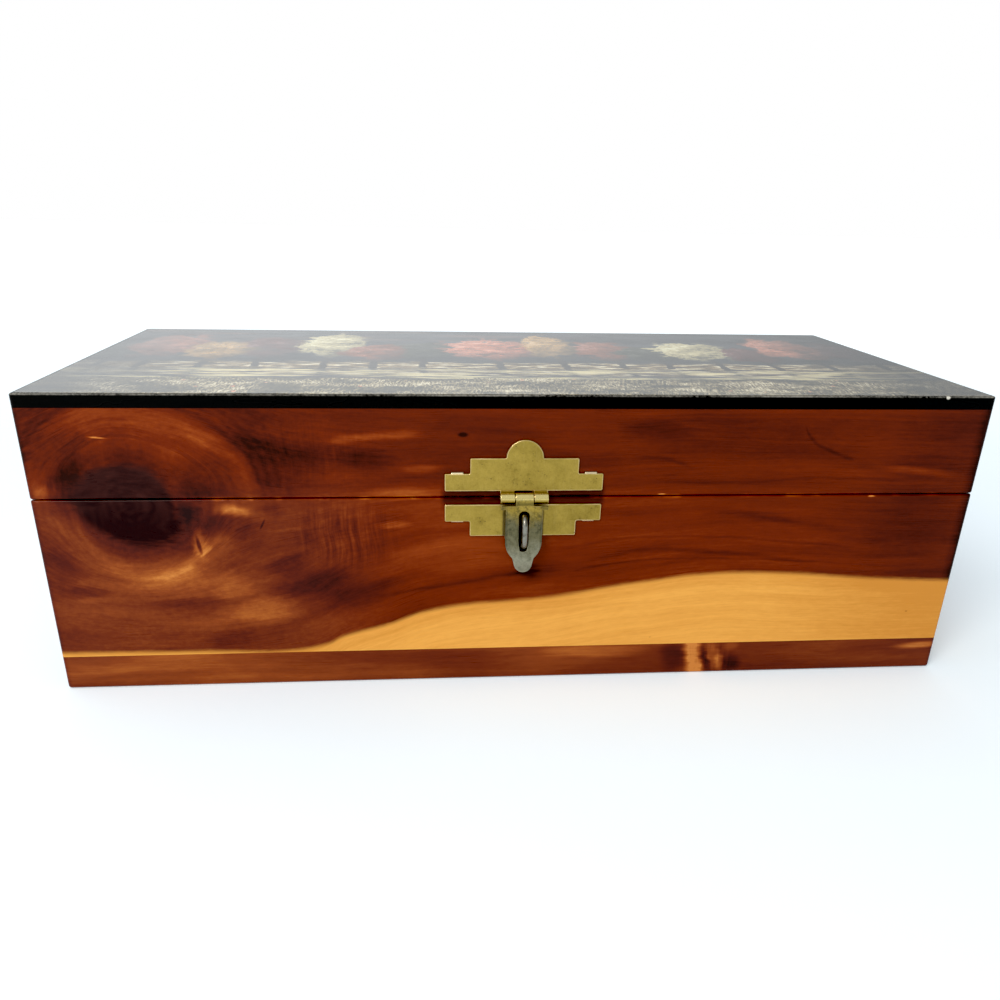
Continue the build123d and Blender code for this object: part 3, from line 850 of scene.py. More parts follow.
        # the sapwood darkens towards the right end: partly its tone, partly painted shade
        shade = shade + g.step(*self.sap_shade, w.along) * 0.85
        sap = g.mix(shade.between(0.0, 1.0), self.sap_light, self.sap_dark)
        speck = g.cells(g.join(w.along / 8.0, edge / 50.0, w.up / 3.6)) + g.step(0.60, 0.52, w.broad) * 0.1
        sap = g.mix(g.step(0.085, 0.04, speck) * 0.6, sap, self.speck)
        return g.mix(g.step(-1.1, 0.7, edge - w.up + (fibre - 0.5) * 0.5), colour, sap)

    def colour(self, w: Wood) -> Signal:
        """Turn the tone into colour, tint it, and lay sapwood and knots over it.

        Args:
            w: the wood.

        Returns:
            The colour.
        """
        fig, g = self.figure, w.g
        tone = self.tone(w)
        colour = g.ramp(tone, self.heart)
        if fig.golden:
            tint = g.mix(g.step(0.22, 0.62, tone), self.violet, self.golden)
            tinted = g.step(*fig.golden, w.along) * g.step(*self.golden_up, w.up)
            tint = g.mix(tinted, (0.0, 0.0, 0.0), tint)
            colour = g.add("ShaderNodeVectorMath", {"operation": "ADD"}, {0: colour, 1: tint})
        if fig.sapwood:
            colour = self.with_sapwood(w, colour)
        for around in w.knots:
            colour = self.with_knot(w, colour, around)
        return colour

    def build(self) -> bpy.types.Material:
        """Write the wood as nodes, varnished outside and bare inside, with the fibre as relief.

        Returns:
            The finished material.
        """
        g = Graph.material(self.figure.name)
        w = self.grain(g)
        colour = self.colour(w)
        x, y, z = place = g.millimetres()
        bare = g.step(self.inner_x, self.inner_x - 1.0, abs(x)) \
            * g.step(self.inner_y, self.inner_y - 1.0, abs(y))
        if self.figure.grain is GrainAxis.ALONG_X:
            bare = bare * g.step(self.wall_low - 0.3, self.wall_low - 0.1, z)
        raw = g.mix(0.30, colour, self.raw)
        worn = g.cloud(place, 17.0, 3.0)
        return g.finish({
            "Base Color": g.mix(bare, colour, raw),
            "Roughness": 0.30 + (w.fibre - 0.5) * 0.10 + (worn - 0.5) * 0.16 + bare * 0.30,
            "Coat Weight": (1 - bare) * (0.02 + worn * 0.05),
            "Coat Roughness": 0.16,
            "Specular IOR Level": 0.10,
            "Normal": g.bump(w.fibre * 0.6 + w.lines * 0.4, 0.03, 0.5),
        })


@dataclass(frozen=True)
class BrassFinish:
    """Aged brass: speckled, stained, soiled in spots and worn in parts, with painted highlights on its edges.

    Steel shows from worn_from down to worn_to and pales over the heights of tip as a painted reflection, and
    mottling doubles over those of mottle_rise. Metal in front of roll_y is rolled round a pin at roll_z and
    takes a painted highlight above the pin and painted shade below it, dark_side is where painted shade
    darkens a strap's sides, and grime paints shade into the strap's slot and a shadow along the strap's
    sides.
    """

    name: str
    face: Colour = (0.394, 0.274, 0.062)
    dull: Colour = (0.250, 0.174, 0.038)
    stain: Colour = (0.095, 0.062, 0.016)
    edge: Colour = (0.800, 0.590, 0.300)
    steel: Colour = (0.235, 0.228, 0.150)
    pale: Colour = (0.580, 0.575, 0.470)
    dirt: Colour = (0.012, 0.008, 0.006)
    worn_from: float = -FAR
    worn_to: float = -FAR - 1.0
    tip: Point = (41.0, 33.5)
    mottle_rise: Point = (36.0, 43.5)
    rough: float = 0.36
    stained: float = 0.45
    gleam: Colour = (0.820, 0.680, 0.300)
    prong: Colour = (0.900, 0.780, 0.520)
    mottled: float = 0.16
    rim_gain: float = 0.46
    roll_y: float = -FAR
    roll_z: float = 50.45
    dark_side: float = FAR
    grime: bool = False
    slot_half: float = 1.5
    slot_low: float = 36.6
    slot_high: float = 47.6
    blade_half: float = 4.5
    blade_low: float = 36.0

    def build(self) -> bpy.types.Material:
        """Write the metal as nodes: speckle from fine cells, clouds from noise, painted edge highlights from
        the rim attribute.

        Returns:
            The finished material.
        """
        g = Graph.material(self.name)
        x, y, z = place = g.millimetres()
        wide = g.noise(g.join(x / 13.0 + 7.0, y / 13.0, z / 13.0), 2.0)
        cloud = g.cloud(place, 4.0, 4.0, 0.6)
        grain = g.cloud(place, 0.36, 2.0, 0.6)
        rub = g.noise(g.join(x / 0.25, y / 0.25, z / 2.6), 2.0, 0.6)
        spot = g.cells(g.join(x / 0.9, y / 0.9, z / 0.9))
        spots = g.step(0.24, 0.06, spot) * g.step(0.50, 0.64, cloud)
        rim = g.add("ShaderNodeAttribute", {"attribute_name": "rim"}, out="Fac")
        worn = g.step(self.worn_from, self.worn_to, z + (cloud - 0.5) * 8.0 + (grain - 0.5) * 3.0)
        # the strap pales towards its flared tip: a painted reflection
        tip = g.step(*self.tip, z + (cloud - 0.5) * 9.0)
        metal = g.mix(g.step(0.42, 0.66, wide * 0.6 + cloud * 0.4) * 0.7, self.face, self.dull)
        metal = g.mix(worn, metal, g.mix(tip * 0.62, self.steel, self.pale))
        speckle = g.step(0.56, 0.80, cloud) * self.stained + (grain - 0.46) * (1.1 * self.stained)
        metal = g.mix(speckle.between(0.0, 0.9), metal, self.stain)
        mottle = g.noise(g.join(x / 0.9 + 3.0, y / 0.9, z / 0.9), 4.0, 0.7)
        higher = g.step(*self.mottle_rise, z) * 0.5 + 0.5
        metal = g.mix(g.step(0.42, 0.68, mottle) * higher * self.mottled, metal, self.stain)
        metal = g.mix(g.step(0.52, 0.80, rub) * 0.05, metal, self.edge)
        # rolled knuckles: a painted highlight above the pin's axis and painted shade below it
        rolled = g.step(self.roll_y, self.roll_y - 0.35, y) * g.step(self.roll_z - 1.7, self.roll_z - 1.3, z)
        metal = g.mix(rolled * g.step(self.roll_z - 0.5, self.roll_z + 0.6, z) * 0.8, metal, self.gleam)
        metal = g.mix(rolled * g.step(self.roll_z - 0.2, self.roll_z - 1.1, z) * 0.6, metal, self.stain)
        # painted shade along the strap's sides
        sides = g.step(self.dark_side, self.dark_side + 0.8, abs(x))
        metal = g.mix(sides * (cloud + 0.2) * 0.8, metal, self.stain)
        # painted highlight on the rounded rims, paler where the metal is worn
        bright = g.step(0.1, 0.9, rim) * (self.rim_gain + (cloud - 0.5) * 2.0).between(0.08, 1.0)
        metal = g.mix(bright, metal, g.mix(worn, self.edge, self.pale))
        # painted highlight over the whole of each prong
        metal = g.mix(g.step(1.2, 1.8, rim) * 0.9, metal, self.prong)
        dirt_and_shade_mask = spots * 0.8
        # painted shade in the strap's slot and a painted shadow along the strap's sides, on the plate
        if self.grime:
            low, high = self.slot_low, self.slot_high
            slot_painted_shade = g.step(self.slot_half + 0.6, self.slot_half - 0.1, abs(x)) \
                * g.window(z, (low - 0.8, low + 0.4), (high + 0.8, high))
            strap_painted_shadow = g.step(self.blade_half + 0.75, self.blade_half + 0.2, abs(x)) \
                * g.window(z, (self.blade_low, self.blade_low + 1.0), (high + 0.4, high - 1.2))
            dirt_and_shade_mask = (dirt_and_shade_mask + slot_painted_shade * 0.95 + strap_painted_shadow * 0.7).at_most(0.97)
        metal = g.mix(dirt_and_shade_mask, metal, self.dirt)
        rough = (cloud - 0.5) * 0.22 + (grain - 0.5) * 0.18 + dirt_and_shade_mask * 0.3 - rolled * 0.10 + self.rough
        return g.finish({
            "Base Color": metal,
            "Metallic": 1.0 - dirt_and_shade_mask * 0.7,
            "Roughness": rough,
            "Normal": g.bump(grain * 0.5 + rub * 0.15 - spots * 0.6, 0.02, 0.6),
        })


@dataclass(frozen=True)
class WireFinish:
    """Plated steel wire or nail heads: bright, drawn along its length, dull in spots."""

    name: str
    colour: Colour = (0.25, 0.238, 0.20)
    dull: Colour = (0.075, 0.062, 0.042)
    rough: float = 0.30

    def build(self) -> bpy.types.Material:
        """Write the wire as nodes.

        Returns:
            The finished material.
        """
        g = Graph.material(self.name)
        x, y, z = place = g.millimetres()
        drawn = g.noise(g.join(x / 0.12, y / 0.5, z / 3.0), 2.0)
        cloud = g.cloud(place, 1.8, 3.0, 0.6)
        return g.finish({
            "Base Color": g.mix(g.step(0.48, 0.74, cloud) * 0.7, self.colour, self.dull),
            "Metallic": 1.0,
            "Roughness": (drawn - 0.5) * 0.16 + (cloud - 0.5) * 0.30 + self.rough,
            "Normal": g.bump(drawn, 0.01, 0.5),
        })


@dataclass(frozen=True)
class BlackPanelFinish:
    """Black paint on the panel's edge and top, chipped at the corners, and brown fibreboard underneath."""

    name: str = "black_panel_paint"
    paint: Colour = (0.0045, 0.0038, 0.0034)
    chip: Colour = (0.62, 0.58, 0.50)
    board: Colour = (0.115, 0.058, 0.026)
    board_light: Colour = (0.19, 0.105, 0.052)
    top: float = 74.9
    low: float = 71.7
    half_depth: float = HALF_DEPTH
    nick: tuple[float, float, float] = (102.0, -50.6, 74.6)

    def build(self) -> bpy.types.Material:
        """Write the paint as nodes: chips where noise is high on the top's outer edge, and one larger nick.

        Returns:
            The finished material.
        """
        g = Graph.material(self.name)
        x, y, z = place = g.millimetres()
        fine = g.cloud(place, 0.5, 3.0, 0.6)
        flow = g.noise(g.join(x / 26.0, y / 26.0, z / 5.0), 3.0)
        fibres = g.noise(g.join(x / 3.0, y / 0.5, z / 0.5), 3.0, 0.65)
        rim = g.step(self.half_depth - 0.75, self.half_depth - 0.35, abs(y)) \
            * g.step(self.top - 0.42, self.top - 0.12, z)
        chip = rim * g.step(0.36, 0.66, fine * 0.5 + flow * 0.5)
        a, b, c = (part - middle for part, middle in zip(place, self.nick))
        nick = g.step(0.60, 0.36, (a * a * 0.8 + b * b * 1.6 + c * c * 1.2).sqrt())
        wear = (chip * 0.42 + nick).at_most(1.0)
        under = g.step(self.low + 0.12, self.low + 0.04, z) \
            * g.step(self.half_depth - 1.0, self.half_depth - 1.4, abs(y))
        brown = g.mix(fibres, self.board, self.board_light)
        colour = g.mix(under, g.mix(wear, self.paint, self.chip), brown)
        return g.finish({
            "Base Color": colour,
            "Roughness": 0.28 + (flow - 0.5) * 0.22 + wear * 0.30 + under * 0.35,
            "Specular IOR Level": 0.10,
            "Normal": g.bump(fine * 0.4 + fibres * under - wear * 0.8, 0.04, 0.5),
        })


class Leaf(Enum):
    """Colours that the print's trees are painted in."""

    CORAL = (0.980, 0.350, 0.200)
    RUST = (0.420, 0.115, 0.040)
    CREAM = (1.000, 0.860, 0.470)
    OCHRE = (0.860, 0.500, 0.170)
    MAROON = (0.170, 0.035, 0.022)
    MOSS = (0.060, 0.060, 0.028)


@dataclass(frozen=True)
class Tree:
    """A tree in the print: place across, height of its foot, its own height, half width and leaves."""

    across: float
    foot: float
    height: float
    half: float
    leaf: Leaf


@dataclass(frozen=True)
class PictureFinish:
    """A varnished print of an autumn lakeside: dusk sky, hills, trees mirrored in water and a meadow.

    The design is a plain landscape of this box's own. Up in the picture is towards the back of the lid.
    """

    name: str = "lakeside_print"
    night: Colour = (0.020, 0.022, 0.026)
    slate: Colour = (0.085, 0.088, 0.100)
    blush: Colour = (0.420, 0.210, 0.140)
    bark: Colour = (0.022, 0.014, 0.010)
    straw: Colour = (1.000, 0.900, 0.640)
    soil: Colour = (0.300, 0.205, 0.090)
    scuffed: Colour = (0.50, 0.48, 0.44)
    turf_dark: Colour = (0.014, 0.014, 0.010)
    turf: Colour = (0.080, 0.068, 0.036)
    turf_light: Colour = (0.340, 0.270, 0.150)
    shore: float = -19.0
    bank: float = -32.0
    dark_ends: Point = (116.0, 66.0)
    dark_top: Point = (49.8, 43.0)
    scuffed_rim: Point = (49.2, 49.8)
    grove: tuple[Tree, ...] = (
        Tree(-108.0, -17.0, 38.0, 11.0, Leaf.MOSS), Tree(-68.0, -17.0, 49.0, 12.0, Leaf.MAROON),
        Tree(-24.0, -17.0, 42.0, 13.0, Leaf.MOSS), Tree(31.0, -17.0, 46.0, 12.0, Leaf.RUST),
        Tree(44.0, -17.0, 36.0, 11.0, Leaf.MOSS), Tree(106.0, -17.0, 47.0, 10.0, Leaf.MAROON),
        Tree(-97.0, -18.5, 55.0, 12.0, Leaf.CORAL), Tree(-82.0, -18.5, 41.0, 10.0, Leaf.OCHRE),
        Tree(-50.0, -18.5, 58.0, 11.0, Leaf.CREAM), Tree(-37.0, -18.5, 39.0, 9.5, Leaf.RUST),
        Tree(-3.0, -18.5, 50.0, 15.0, Leaf.CORAL), Tree(15.0, -18.5, 60.0, 8.5, Leaf.OCHRE),
        Tree(59.0, -18.5, 47.0, 13.5, Leaf.CREAM), Tree(74.0, -18.5, 37.0, 9.0, Leaf.MAROON),
        Tree(90.0, -18.5, 56.0, 11.5, Leaf.CORAL),
    )

    def sky(self, g: Graph, u: Signal, v: Signal) -> Signal:
        """Dusk sky with long soft clouds, and a row of dark hills below it.

        Args:
            g: the graph.
            u: place across the picture.
            v: place up the picture.

        Returns:
            The colour.
        """
        cloud = g.noise(g.join(u / 46.0, v / 9.0, 3.0), 4.0, 0.55)
        colour = g.mix(g.step(0.38, 0.72, cloud), self.night, self.slate)
        glow = g.step(0.46, 0.74, g.noise(g.join(u / 38.0, v / 7.0, 9.0), 4.0)) * g.step(20.0, 34.0, v)
        colour = g.mix(glow * g.step(70.0, -60.0, u) * 0.7, colour, self.blush)
        ridge = g.noise(g.join(u / 42.0, 5.0, 0.0), 4.0) * 34.0 - 2.0
        return g.mix(g.step(-0.7, 0.7, ridge - v), colour, self.night)

    def tree(self, g: Graph, u: Signal, v: Signal, under: Signal, tree: Tree, edge: Signal,
             glint: Signal) -> Signal:
        """One tree: an egg-shaped ragged crown, lighter at its upper left, on a thin trunk.

        Args:
            g: the graph.
            u: place across the picture.
            v: place up the picture.
            under: the colour behind it.
            tree: the tree.
            edge: noise about 0 that makes the crown's outline ragged.
            glint: noise that lights its leaves.

        Returns:
            The colour with the tree.
        """
        a = (u - tree.across) / tree.half
        b = (v - (tree.foot + 0.65 * tree.height)) / (0.37 * tree.height)
        crown = g.step(1.0, 0.84, (a * a + b * b).sqrt() + edge)
        lit = (b * 0.30 - a * 0.30 + glint).between(0.0, 1.0)
        leaf = tree.leaf.value
        leaves = g.mix(lit, tuple(0.12 * c for c in leaf), leaf)
        sunny = tuple(min(1.0, 0.25 + 0.9 * c) for c in leaf)
        leaves = g.mix(g.step(0.70, 1.0, lit) * 0.6, leaves, sunny)
        fork = (tree.foot + 0.6 * tree.height, tree.foot + 0.5 * tree.height)
        trunk = g.step(1.3, 0.8, abs(u - tree.across + edge * 2.0)) \
            * g.window(v, (tree.foot - 0.8, tree.foot - 0.2), fork)
        return g.mix(crown, g.mix(trunk, under, self.bark), leaves)

    def lakeside(self, g: Graph, u: Signal, v: Signal) -> Signal:
        """Sky, trees and still water, in which the height above the shore is folded over and rippled.

        Args:
            g: the graph.
            u: place across the picture.
            v: place up the picture.

        Returns:
            The colour.
        """
        ripple = g.noise(g.join(u / 15.0, v / 1.1, 2.0), 3.0, 0.6)
        water = g.step(0.3, -0.3, v - self.shore)
        up = abs(v - self.shore) + (ripple - 0.5) * water * 5.0 + self.shore
        across = u + (ripple - 0.5) * water * 7.0
        clump = g.noise(g.join(across / 7.5, up / 6.5, 1.0), 4.0, 0.6) - 0.5
        twigs = g.noise(g.join(across / 1.6, up / 1.6, 4.0), 3.0, 0.65) - 0.5
        edge, glint = clump * 1.7 + twigs * 0.5, clump * 2.2 + twigs * 1.3 + 0.46
        turf = g.noise(g.join(across / 7.0, up / 1.8, 14.0), 3.0, 0.6)
        land = g.ramp(turf, ((0.38, self.bark), (0.52, self.soil), (0.64, self.straw)))
        colour = self.sky(g, across, up)
        colour = g.mix(g.step(self.shore + 11.0, self.shore + 7.5, up + clump * 8.0), colour, land)
        for tree in self.grove:
            colour = self.tree(g, across, up, colour, tree, edge, glint)
        colour = g.mix(water * 0.42, colour, self.slate)
        patch = g.noise(g.join(u / 30.0, v / 6.0, 7.0), 2.0)
        shine = g.step(0.47, 0.60, ripple * 0.60 + patch * 0.40) * water
        colour = g.mix(shine * 0.90, colour, Leaf.CREAM.value)
        return g.mix(g.step(0.9, 0.2, abs(v - self.shore + clump * 3.0)) * 0.8, colour, self.bark)

    def meadow(self, g: Graph, u: Signal, v: Signal, under: Signal) -> Signal:
        """The near bank: grass from noise drawn out along leaning strokes, in patches, with small blossoms.

        Args:
            g: the graph.
            u: place across the picture.
            v: place up the picture.
            under: the colour behind it.

        Returns:
            The colour with the meadow.
        """
        lean = g.noise(g.join(u / 9.0, v / 9.0, 8.0), 2.0) - 0.5
        stroke = g.noise(g.join(u / 0.5 + lean * 8.0, v / 2.6 + lean * 4.0, 5.0), 3.0, 0.7)
        patch = g.noise(g.join(u / 13.0, v / 7.0, 11.0), 3.0, 0.6)
        grass = g.ramp(stroke * 0.55 + patch * 0.45, (
            (0.39, self.turf_dark), (0.47, self.turf), (0.54, self.turf_light), (0.64, self.straw)))
        bloom = g.step(0.15, 0.09, g.cells(g.join(u / 4.6, v / 4.6, 0.5))) * g.step(0.48, 0.56, patch)
        grass = g.mix(bloom * 0.9, grass, Leaf.CORAL.value)
        rise = (g.noise(g.join(u / 13.0, 1.0, 6.0), 3.0) - 0.5) * 9.0 + (stroke - 0.5) * 4.0
        return g.mix(g.step(self.bank + 0.6, self.bank - 0.6, v + rise), under, grass)

    def build(self) -> bpy.types.Material:
        """Lay the picture's parts over each other and close them under a varnish.

        Returns:
            The finished material.
        """
        g = Graph.material(self.name)
        u, v, _ = g.millimetres()
        colour = self.meadow(g, u, v, self.lakeside(g, u, v))
        ends = g.step(*self.dark_ends, abs(u)) * g.step(*self.dark_top, v)
        colour = g.mix(ends * 0.80 + 0.20, self.night, colour)
        wear = g.noise(g.join(u / 11.0, v / 11.0, 1.0), 4.0, 0.6)
        dust = g.noise(g.join(u / 0.7, v / 0.7, 2.0), 2.0, 0.7)
        scuff = g.step(*self.scuffed_rim, abs(v)) * g.step(0.34, 0.60, dust * 0.5 + wear * 0.5)
        colour = g.mix(scuff * 0.6, colour, self.scuffed)
        return g.finish({
            "Base Color": colour,
            "Roughness": 0.20 + (wear - 0.5) * 0.14 + (dust - 0.5) * 0.06 + scuff * 0.25,
            "Coat Weight": 0.38,
            "Coat Roughness": 0.12,
            "Normal": g.bump(dust * 0.5 + wear * 0.5, 0.012, 0.35),
        })


# Meshes


@dataclass
class Shell:
    """One closed surface in millimetres: points, arrays of faces, and a rim weight for each point."""

    points: Array
    faces: list[Array]
    rim: Array


def grid_faces(rows: int, columns: int) -> Array:
    """Quads of a grid of points, each row's last point joined to its first.

    Args:
        rows: number of rows.
        columns: number of points in a row.

    Returns:
        Corner numbers, four to a face.
    """
    row, column = np.meshgrid(np.arange(rows - 1), np.arange(columns), indexing="ij")
    here, above = row * columns, (row + 1) * columns
    after = (column + 1) % columns
    corners = [here + column, here + after, above + after, above + column]
    return np.stack(corners, -1).reshape(-1, 4)


def fan_faces(pole: int, first: int, columns: int) -> Array:
    """Triangles from a pole to a closed row that starts at first."""
    column = np.arange(columns)
    return np.stack([np.full(columns, pole), first + column, first + (column + 1) % columns], -1)


def tube(rings: Array, rim: Array, poles: Array | None = None) -> Shell:
    """A closed skin over rings of points, its two ends closed by a pole in each end ring.

    Args:
        rings: points as (rings, points in a ring, 3).
        rim: rim weight of each ring.
        poles: the two poles, or None for the middles of the end rings.

    Returns:
        The shell.
    """
    count, columns, _ = rings.shape
    if poles is None:
        poles = rings[[0, -1]].mean(1)
    points = np.concatenate([rings.reshape(-1, 3), poles])
    faces = [grid_faces(count, columns), fan_faces(count * columns, 0, columns),
             fan_faces(count * columns + 1, (count - 1) * columns, columns)]
    return Shell(points, faces, np.concatenate([np.repeat(rim, columns), rim[:1], rim[-1:]]))


def rounded_corners(before: Array, corner: Array, after: Array, radius: Array, steps: int = 6) -> Array:
    """Corners of an outline turned into arcs.

    A corner with half angle w between its two sides has its arc's centre on the bisector, radius / sin(w)
    away, and the arc runs between the two tangent points, radius / tan(w) along each side.

    Args:
        before: the point before each corner, as (corners, 2).
        corner: the corners.
        after: the point after each corner.
        radius: each corner's radius.
        steps: points on each arc.

    Returns:
        The arcs' points, as (corners, steps, 2).
    """
    back = (before - corner) / np.linalg.norm(before - corner, axis=1, keepdims=True)
    ahead = (after - corner) / np.linalg.norm(after - corner, axis=1, keepdims=True)
    half = np.arccos(np.clip((back * ahead).sum(1), -1, 1)) / 2
    middle = (back + ahead) / np.linalg.norm(back + ahead, axis=1, keepdims=True)
    centre = corner + middle * (radius / np.sin(half))[:, None]
    start = corner + back * (radius / np.tan(half))[:, None] - centre
    turn = np.sign(back[:, 1] * ahead[:, 0] - back[:, 0] * ahead[:, 1]) * (np.pi - 2 * half)
    angle = turn[:, None] * np.linspace(0, 1, steps)
    c, s = np.cos(angle), np.sin(angle)
    x = start[:, :1] * c - start[:, 1:] * s
    y = start[:, :1] * s + start[:, 1:] * c
    return centre[:, None, :] + np.stack([x, y], -1)


def rounded_box(half: float, low: float, high: float, radius: tuple[float, ...], steps: int = 6) -> Array:
    """Outline of an upright rectangle with rounded corners, anticlockwise from its lower left.

    Args:
        half: half its width.
        low: height of its lower side.
        high: height of its upper side.
        radius: each corner's radius.
        steps: points on each corner.

    Returns:
        Points as (n, 2).
    """
    corners = np.array([[-half, low], [half, low], [half, high], [-half, high]])
    before, after = np.roll(corners, 1, 0), np.roll(corners, -1, 0)
    return rounded_corners(before, corners, after, np.array(radius), steps).reshape(-1, 2)


def arc(centre: Point, radius: float, angle: Array) -> Array:
    """Points on a circle at these angles."""
    return np.stack([centre[0] + radius * np.cos(angle), centre[1] + radius * np.sin(angle)], -1)


def outward(outline: Array) -> Array:
    """Unit normals of a closed outline, by central differences.

    Args:
        outline: its points, anticlockwise, as (n, 2).

    Returns:
        As many normals.
    """
    run = np.roll(outline, -1, 0) - np.roll(outline, 1, 0)
    normal = np.stack([run[:, 1], -run[:, 0]], -1)
    return normal / np.linalg.norm(normal, axis=1, keepdims=True)


def rim_profile(thickness: float, radius: float, steps: int = 5) -> tuple[Array, Array]:
    """Section of a sheet's rounded edge, from its front face round to its back face.

    Args:
        thickness: the sheet's thickness.
        radius: radius of its two edges.
        steps: points on each rounding.

    Returns:
        Distance in from the outline, and depth from the front face, of each row.
    """
    angle = np.linspace(0, np.pi / 2, steps)
    inset, depth = radius * (1 - np.sin(angle)), radius * (1 - np.cos(angle))
    lead = np.array([1.7 * radius, 1.25 * radius])
    inset = np.concatenate([lead, inset, inset[::-1], lead[::-1]])
    depth = np.concatenate([[0, 0], depth, (thickness - depth)[::-1], [thickness, thickness]])
    return inset, depth


def plate(outline: Array, hub: Point, thickness: float, radius: float) -> Shell:
    """A flat sheet cut to an outline that is seen whole from its hub.

    P(u, t): u runs round the outline; t runs from the front's hub outwards, over the rounded edge and
    back to the hub behind. Coordinates are across, depth from the front face, up.

    Args:
        outline: points of the outline, anticlockwise, as (n, 2).
        hub: the point that the rows shrink to.
        thickness: the sheet's thickness.
        radius: radius of its edges.

    Returns:
        The shell.
    """
    inset, depth = rim_profile(thickness, radius)
    rows = outline[None] - inset[:, None, None] * outward(outline)[None]
    share = np.array([0.35, 0.7])[:, None, None]
    middle = np.array(hub)[None, None]
    front = middle + (rows[:1] - middle) * share
    behind = middle + (rows[-1:] - middle) * share[::-1]
    flat = np.concatenate([front, rows, behind])
    deep = np.concatenate([np.zeros(2), depth, np.full(2, thickness)])
    rings = np.stack([flat[..., 0], np.broadcast_to(deep[:, None], flat.shape[:2]), flat[..., 1]], -1)
    edge = np.concatenate([np.zeros(2), [0.0, 0.6], np.ones(len(inset) - 4), [0.6, 0.0], np.zeros(2)])
    return tube(rings, edge, np.array([[hub[0], 0.0, hub[1]], [hub[0], thickness, hub[1]]]))


def slotted_plate(outline: Array, slot: Array, thickness: float, radius: float) -> Shell:
    """A flat sheet between an outline and a slot in it.

    P(u, t): u runs round both; t runs from the slot's edge over the front to the outline, and back behind.

    Args:
        outline: points of the outline, anticlockwise, as (n, 2).
        slot: as many points of the slot, anticlockwise, each facing its outline point.
        thickness: the sheet's thickness.
        radius: radius of its edges.

    Returns:
        The shell, in across, depth and up.
    """
    inset, depth = rim_profile(thickness, radius)
    outer = outline[None] - inset[:, None, None] * outward(outline)[None]
    inner = slot[None] + inset[:, None, None] * outward(slot)[None]
    share = np.linspace(0, 1, 7)[1:-1, None, None]
    front = inner[:1] + (outer[:1] - inner[:1]) * share
    behind = outer[-1:] + (inner[-1:] - outer[-1:]) * share
    flat = np.concatenate([inner[::-1], front, outer, behind])
    deep = np.concatenate([depth[::-1], np.zeros(5), depth, np.full(5, thickness)])
    edge_in = np.concatenate([np.zeros(2), np.ones(len(inset) - 4), np.zeros(2)])
    edge = np.concatenate([edge_in, np.zeros(5), edge_in, np.zeros(5)])
    rows, columns = flat.shape[:2]
    points = np.stack([flat[..., 0], np.broadcast_to(deep[:, None], (rows, columns)), flat[..., 1]], -1)
    faces = grid_faces(rows + 1, columns) % (rows * columns)
    return Shell(points.reshape(-1, 3), [faces], np.repeat(edge, columns))


def bent_sheet(path: Array, thickness: float, start: float, end: float, radius: float) -> Shell:
    """A strip of sheet metal bent along a path in the Y-Z plane and as wide as start to end in X.

    P(s, x): s runs along one face of the strip, round its end, back along the other face; x runs across
    it, and within radius of its two sides the half thickness falls as a quarter circle.

    Args:
        path: points of the strip's middle line, as (n, 2) of y and z.
        thickness: the sheet's thickness.
        start: X of one side.
        end: X of the other side.
        radius: radius of its edges.

    Returns:
        The shell.
    """
    run = np.gradient(path, axis=0)
    run = run / np.linalg.norm(run, axis=1, keepdims=True)
    side = np.stack([run[:, 1], -run[:, 0]], -1)
    turn = (np.arange(6) + 0.5)[:, None] * np.pi / 6
    far = side[-1:] * np.cos(turn) + run[-1:] * np.sin(turn)
    near = -side[:1] * np.cos(turn) - run[:1] * np.sin(turn)
    base = np.concatenate([np.repeat(path[:1], 3, 0), path, np.repeat(path[-1:], 6, 0), path[::-1],
                           np.repeat(path[:1], 3, 0)])
    aim = np.concatenate([near[3:], side, far, -side[::-1], near[:3]])
    angle = np.linspace(0, np.pi / 2, 5)
    x_in, loss = radius * (1 - np.sin(angle)), radius * (1 - np.cos(angle))
    x = np.concatenate([start + x_in[::-1], [start + 1.6 * radius, end - 1.6 * radius], end - x_in])
    half = thickness / 2 - np.concatenate([loss[::-1], [0, 0], loss])
    section = base[None] + aim[None] * half[:, None, None]
    columns = len(base)
    points = np.concatenate([np.broadcast_to(x[:, None, None], (len(x), columns, 1)), section], -1)
    pair = np.arange(columns // 2 - 1)
    cap = np.stack([pair, pair + 1, columns - 2 - pair, columns - 1 - pair], -1)
    faces = np.concatenate([grid_faces(len(x), columns), cap, cap + (len(x) - 1) * columns])
    weight = np.concatenate([np.ones(5), [0, 0], np.ones(5)])
    return Shell(points.reshape(-1, 3), [faces], np.repeat(weight, columns))


def turned(radius: Array, height: Array, steps: int = 40) -> Array:
    """Rings of a turned form: a profile of radius and height carried round the third axis.

    Args:
        radius: radius of each ring.
        height: place of each ring on the axis.
        steps: points in a ring.

    Returns:
        Points as (rings, steps, 3).
    """
    angle = np.linspace(0, 2 * np.pi, steps, endpoint=False)
    flat = radius[:, None, None] * np.stack([np.cos(angle), np.sin(angle)], -1)[None]
    return np.concatenate([flat, np.broadcast_to(height[:, None, None], (len(height), steps, 1))], -1)


def rod(start: float, end: float, radius: float, y: float, z: float) -> Shell:
    """A rod along X with domed ends.

    A ring at angle a of the dome has radius sin(a) of the whole and lies dome (1 - cos(a)) in from the end.

    Args:
        start: X of one end.
        end: X of the other end.
        radius: the rod's radius.
        y: Y of its axis.
        z: Z of its axis.

    Returns:
        The shell.
    """
    dome = 0.2
    angle = np.linspace(0.02, np.pi / 2, 6)
    spread, lift = radius * np.sin(angle), dome * (1 - np.cos(angle))
    along = np.concatenate([start + lift, end - lift[::-1]])
    rings = turned(np.concatenate([spread, spread[::-1]]), along)
    points = np.stack([rings[..., 2], y + rings[..., 0], z + rings[..., 1]], -1)
    return tube(points, np.zeros(len(along)))


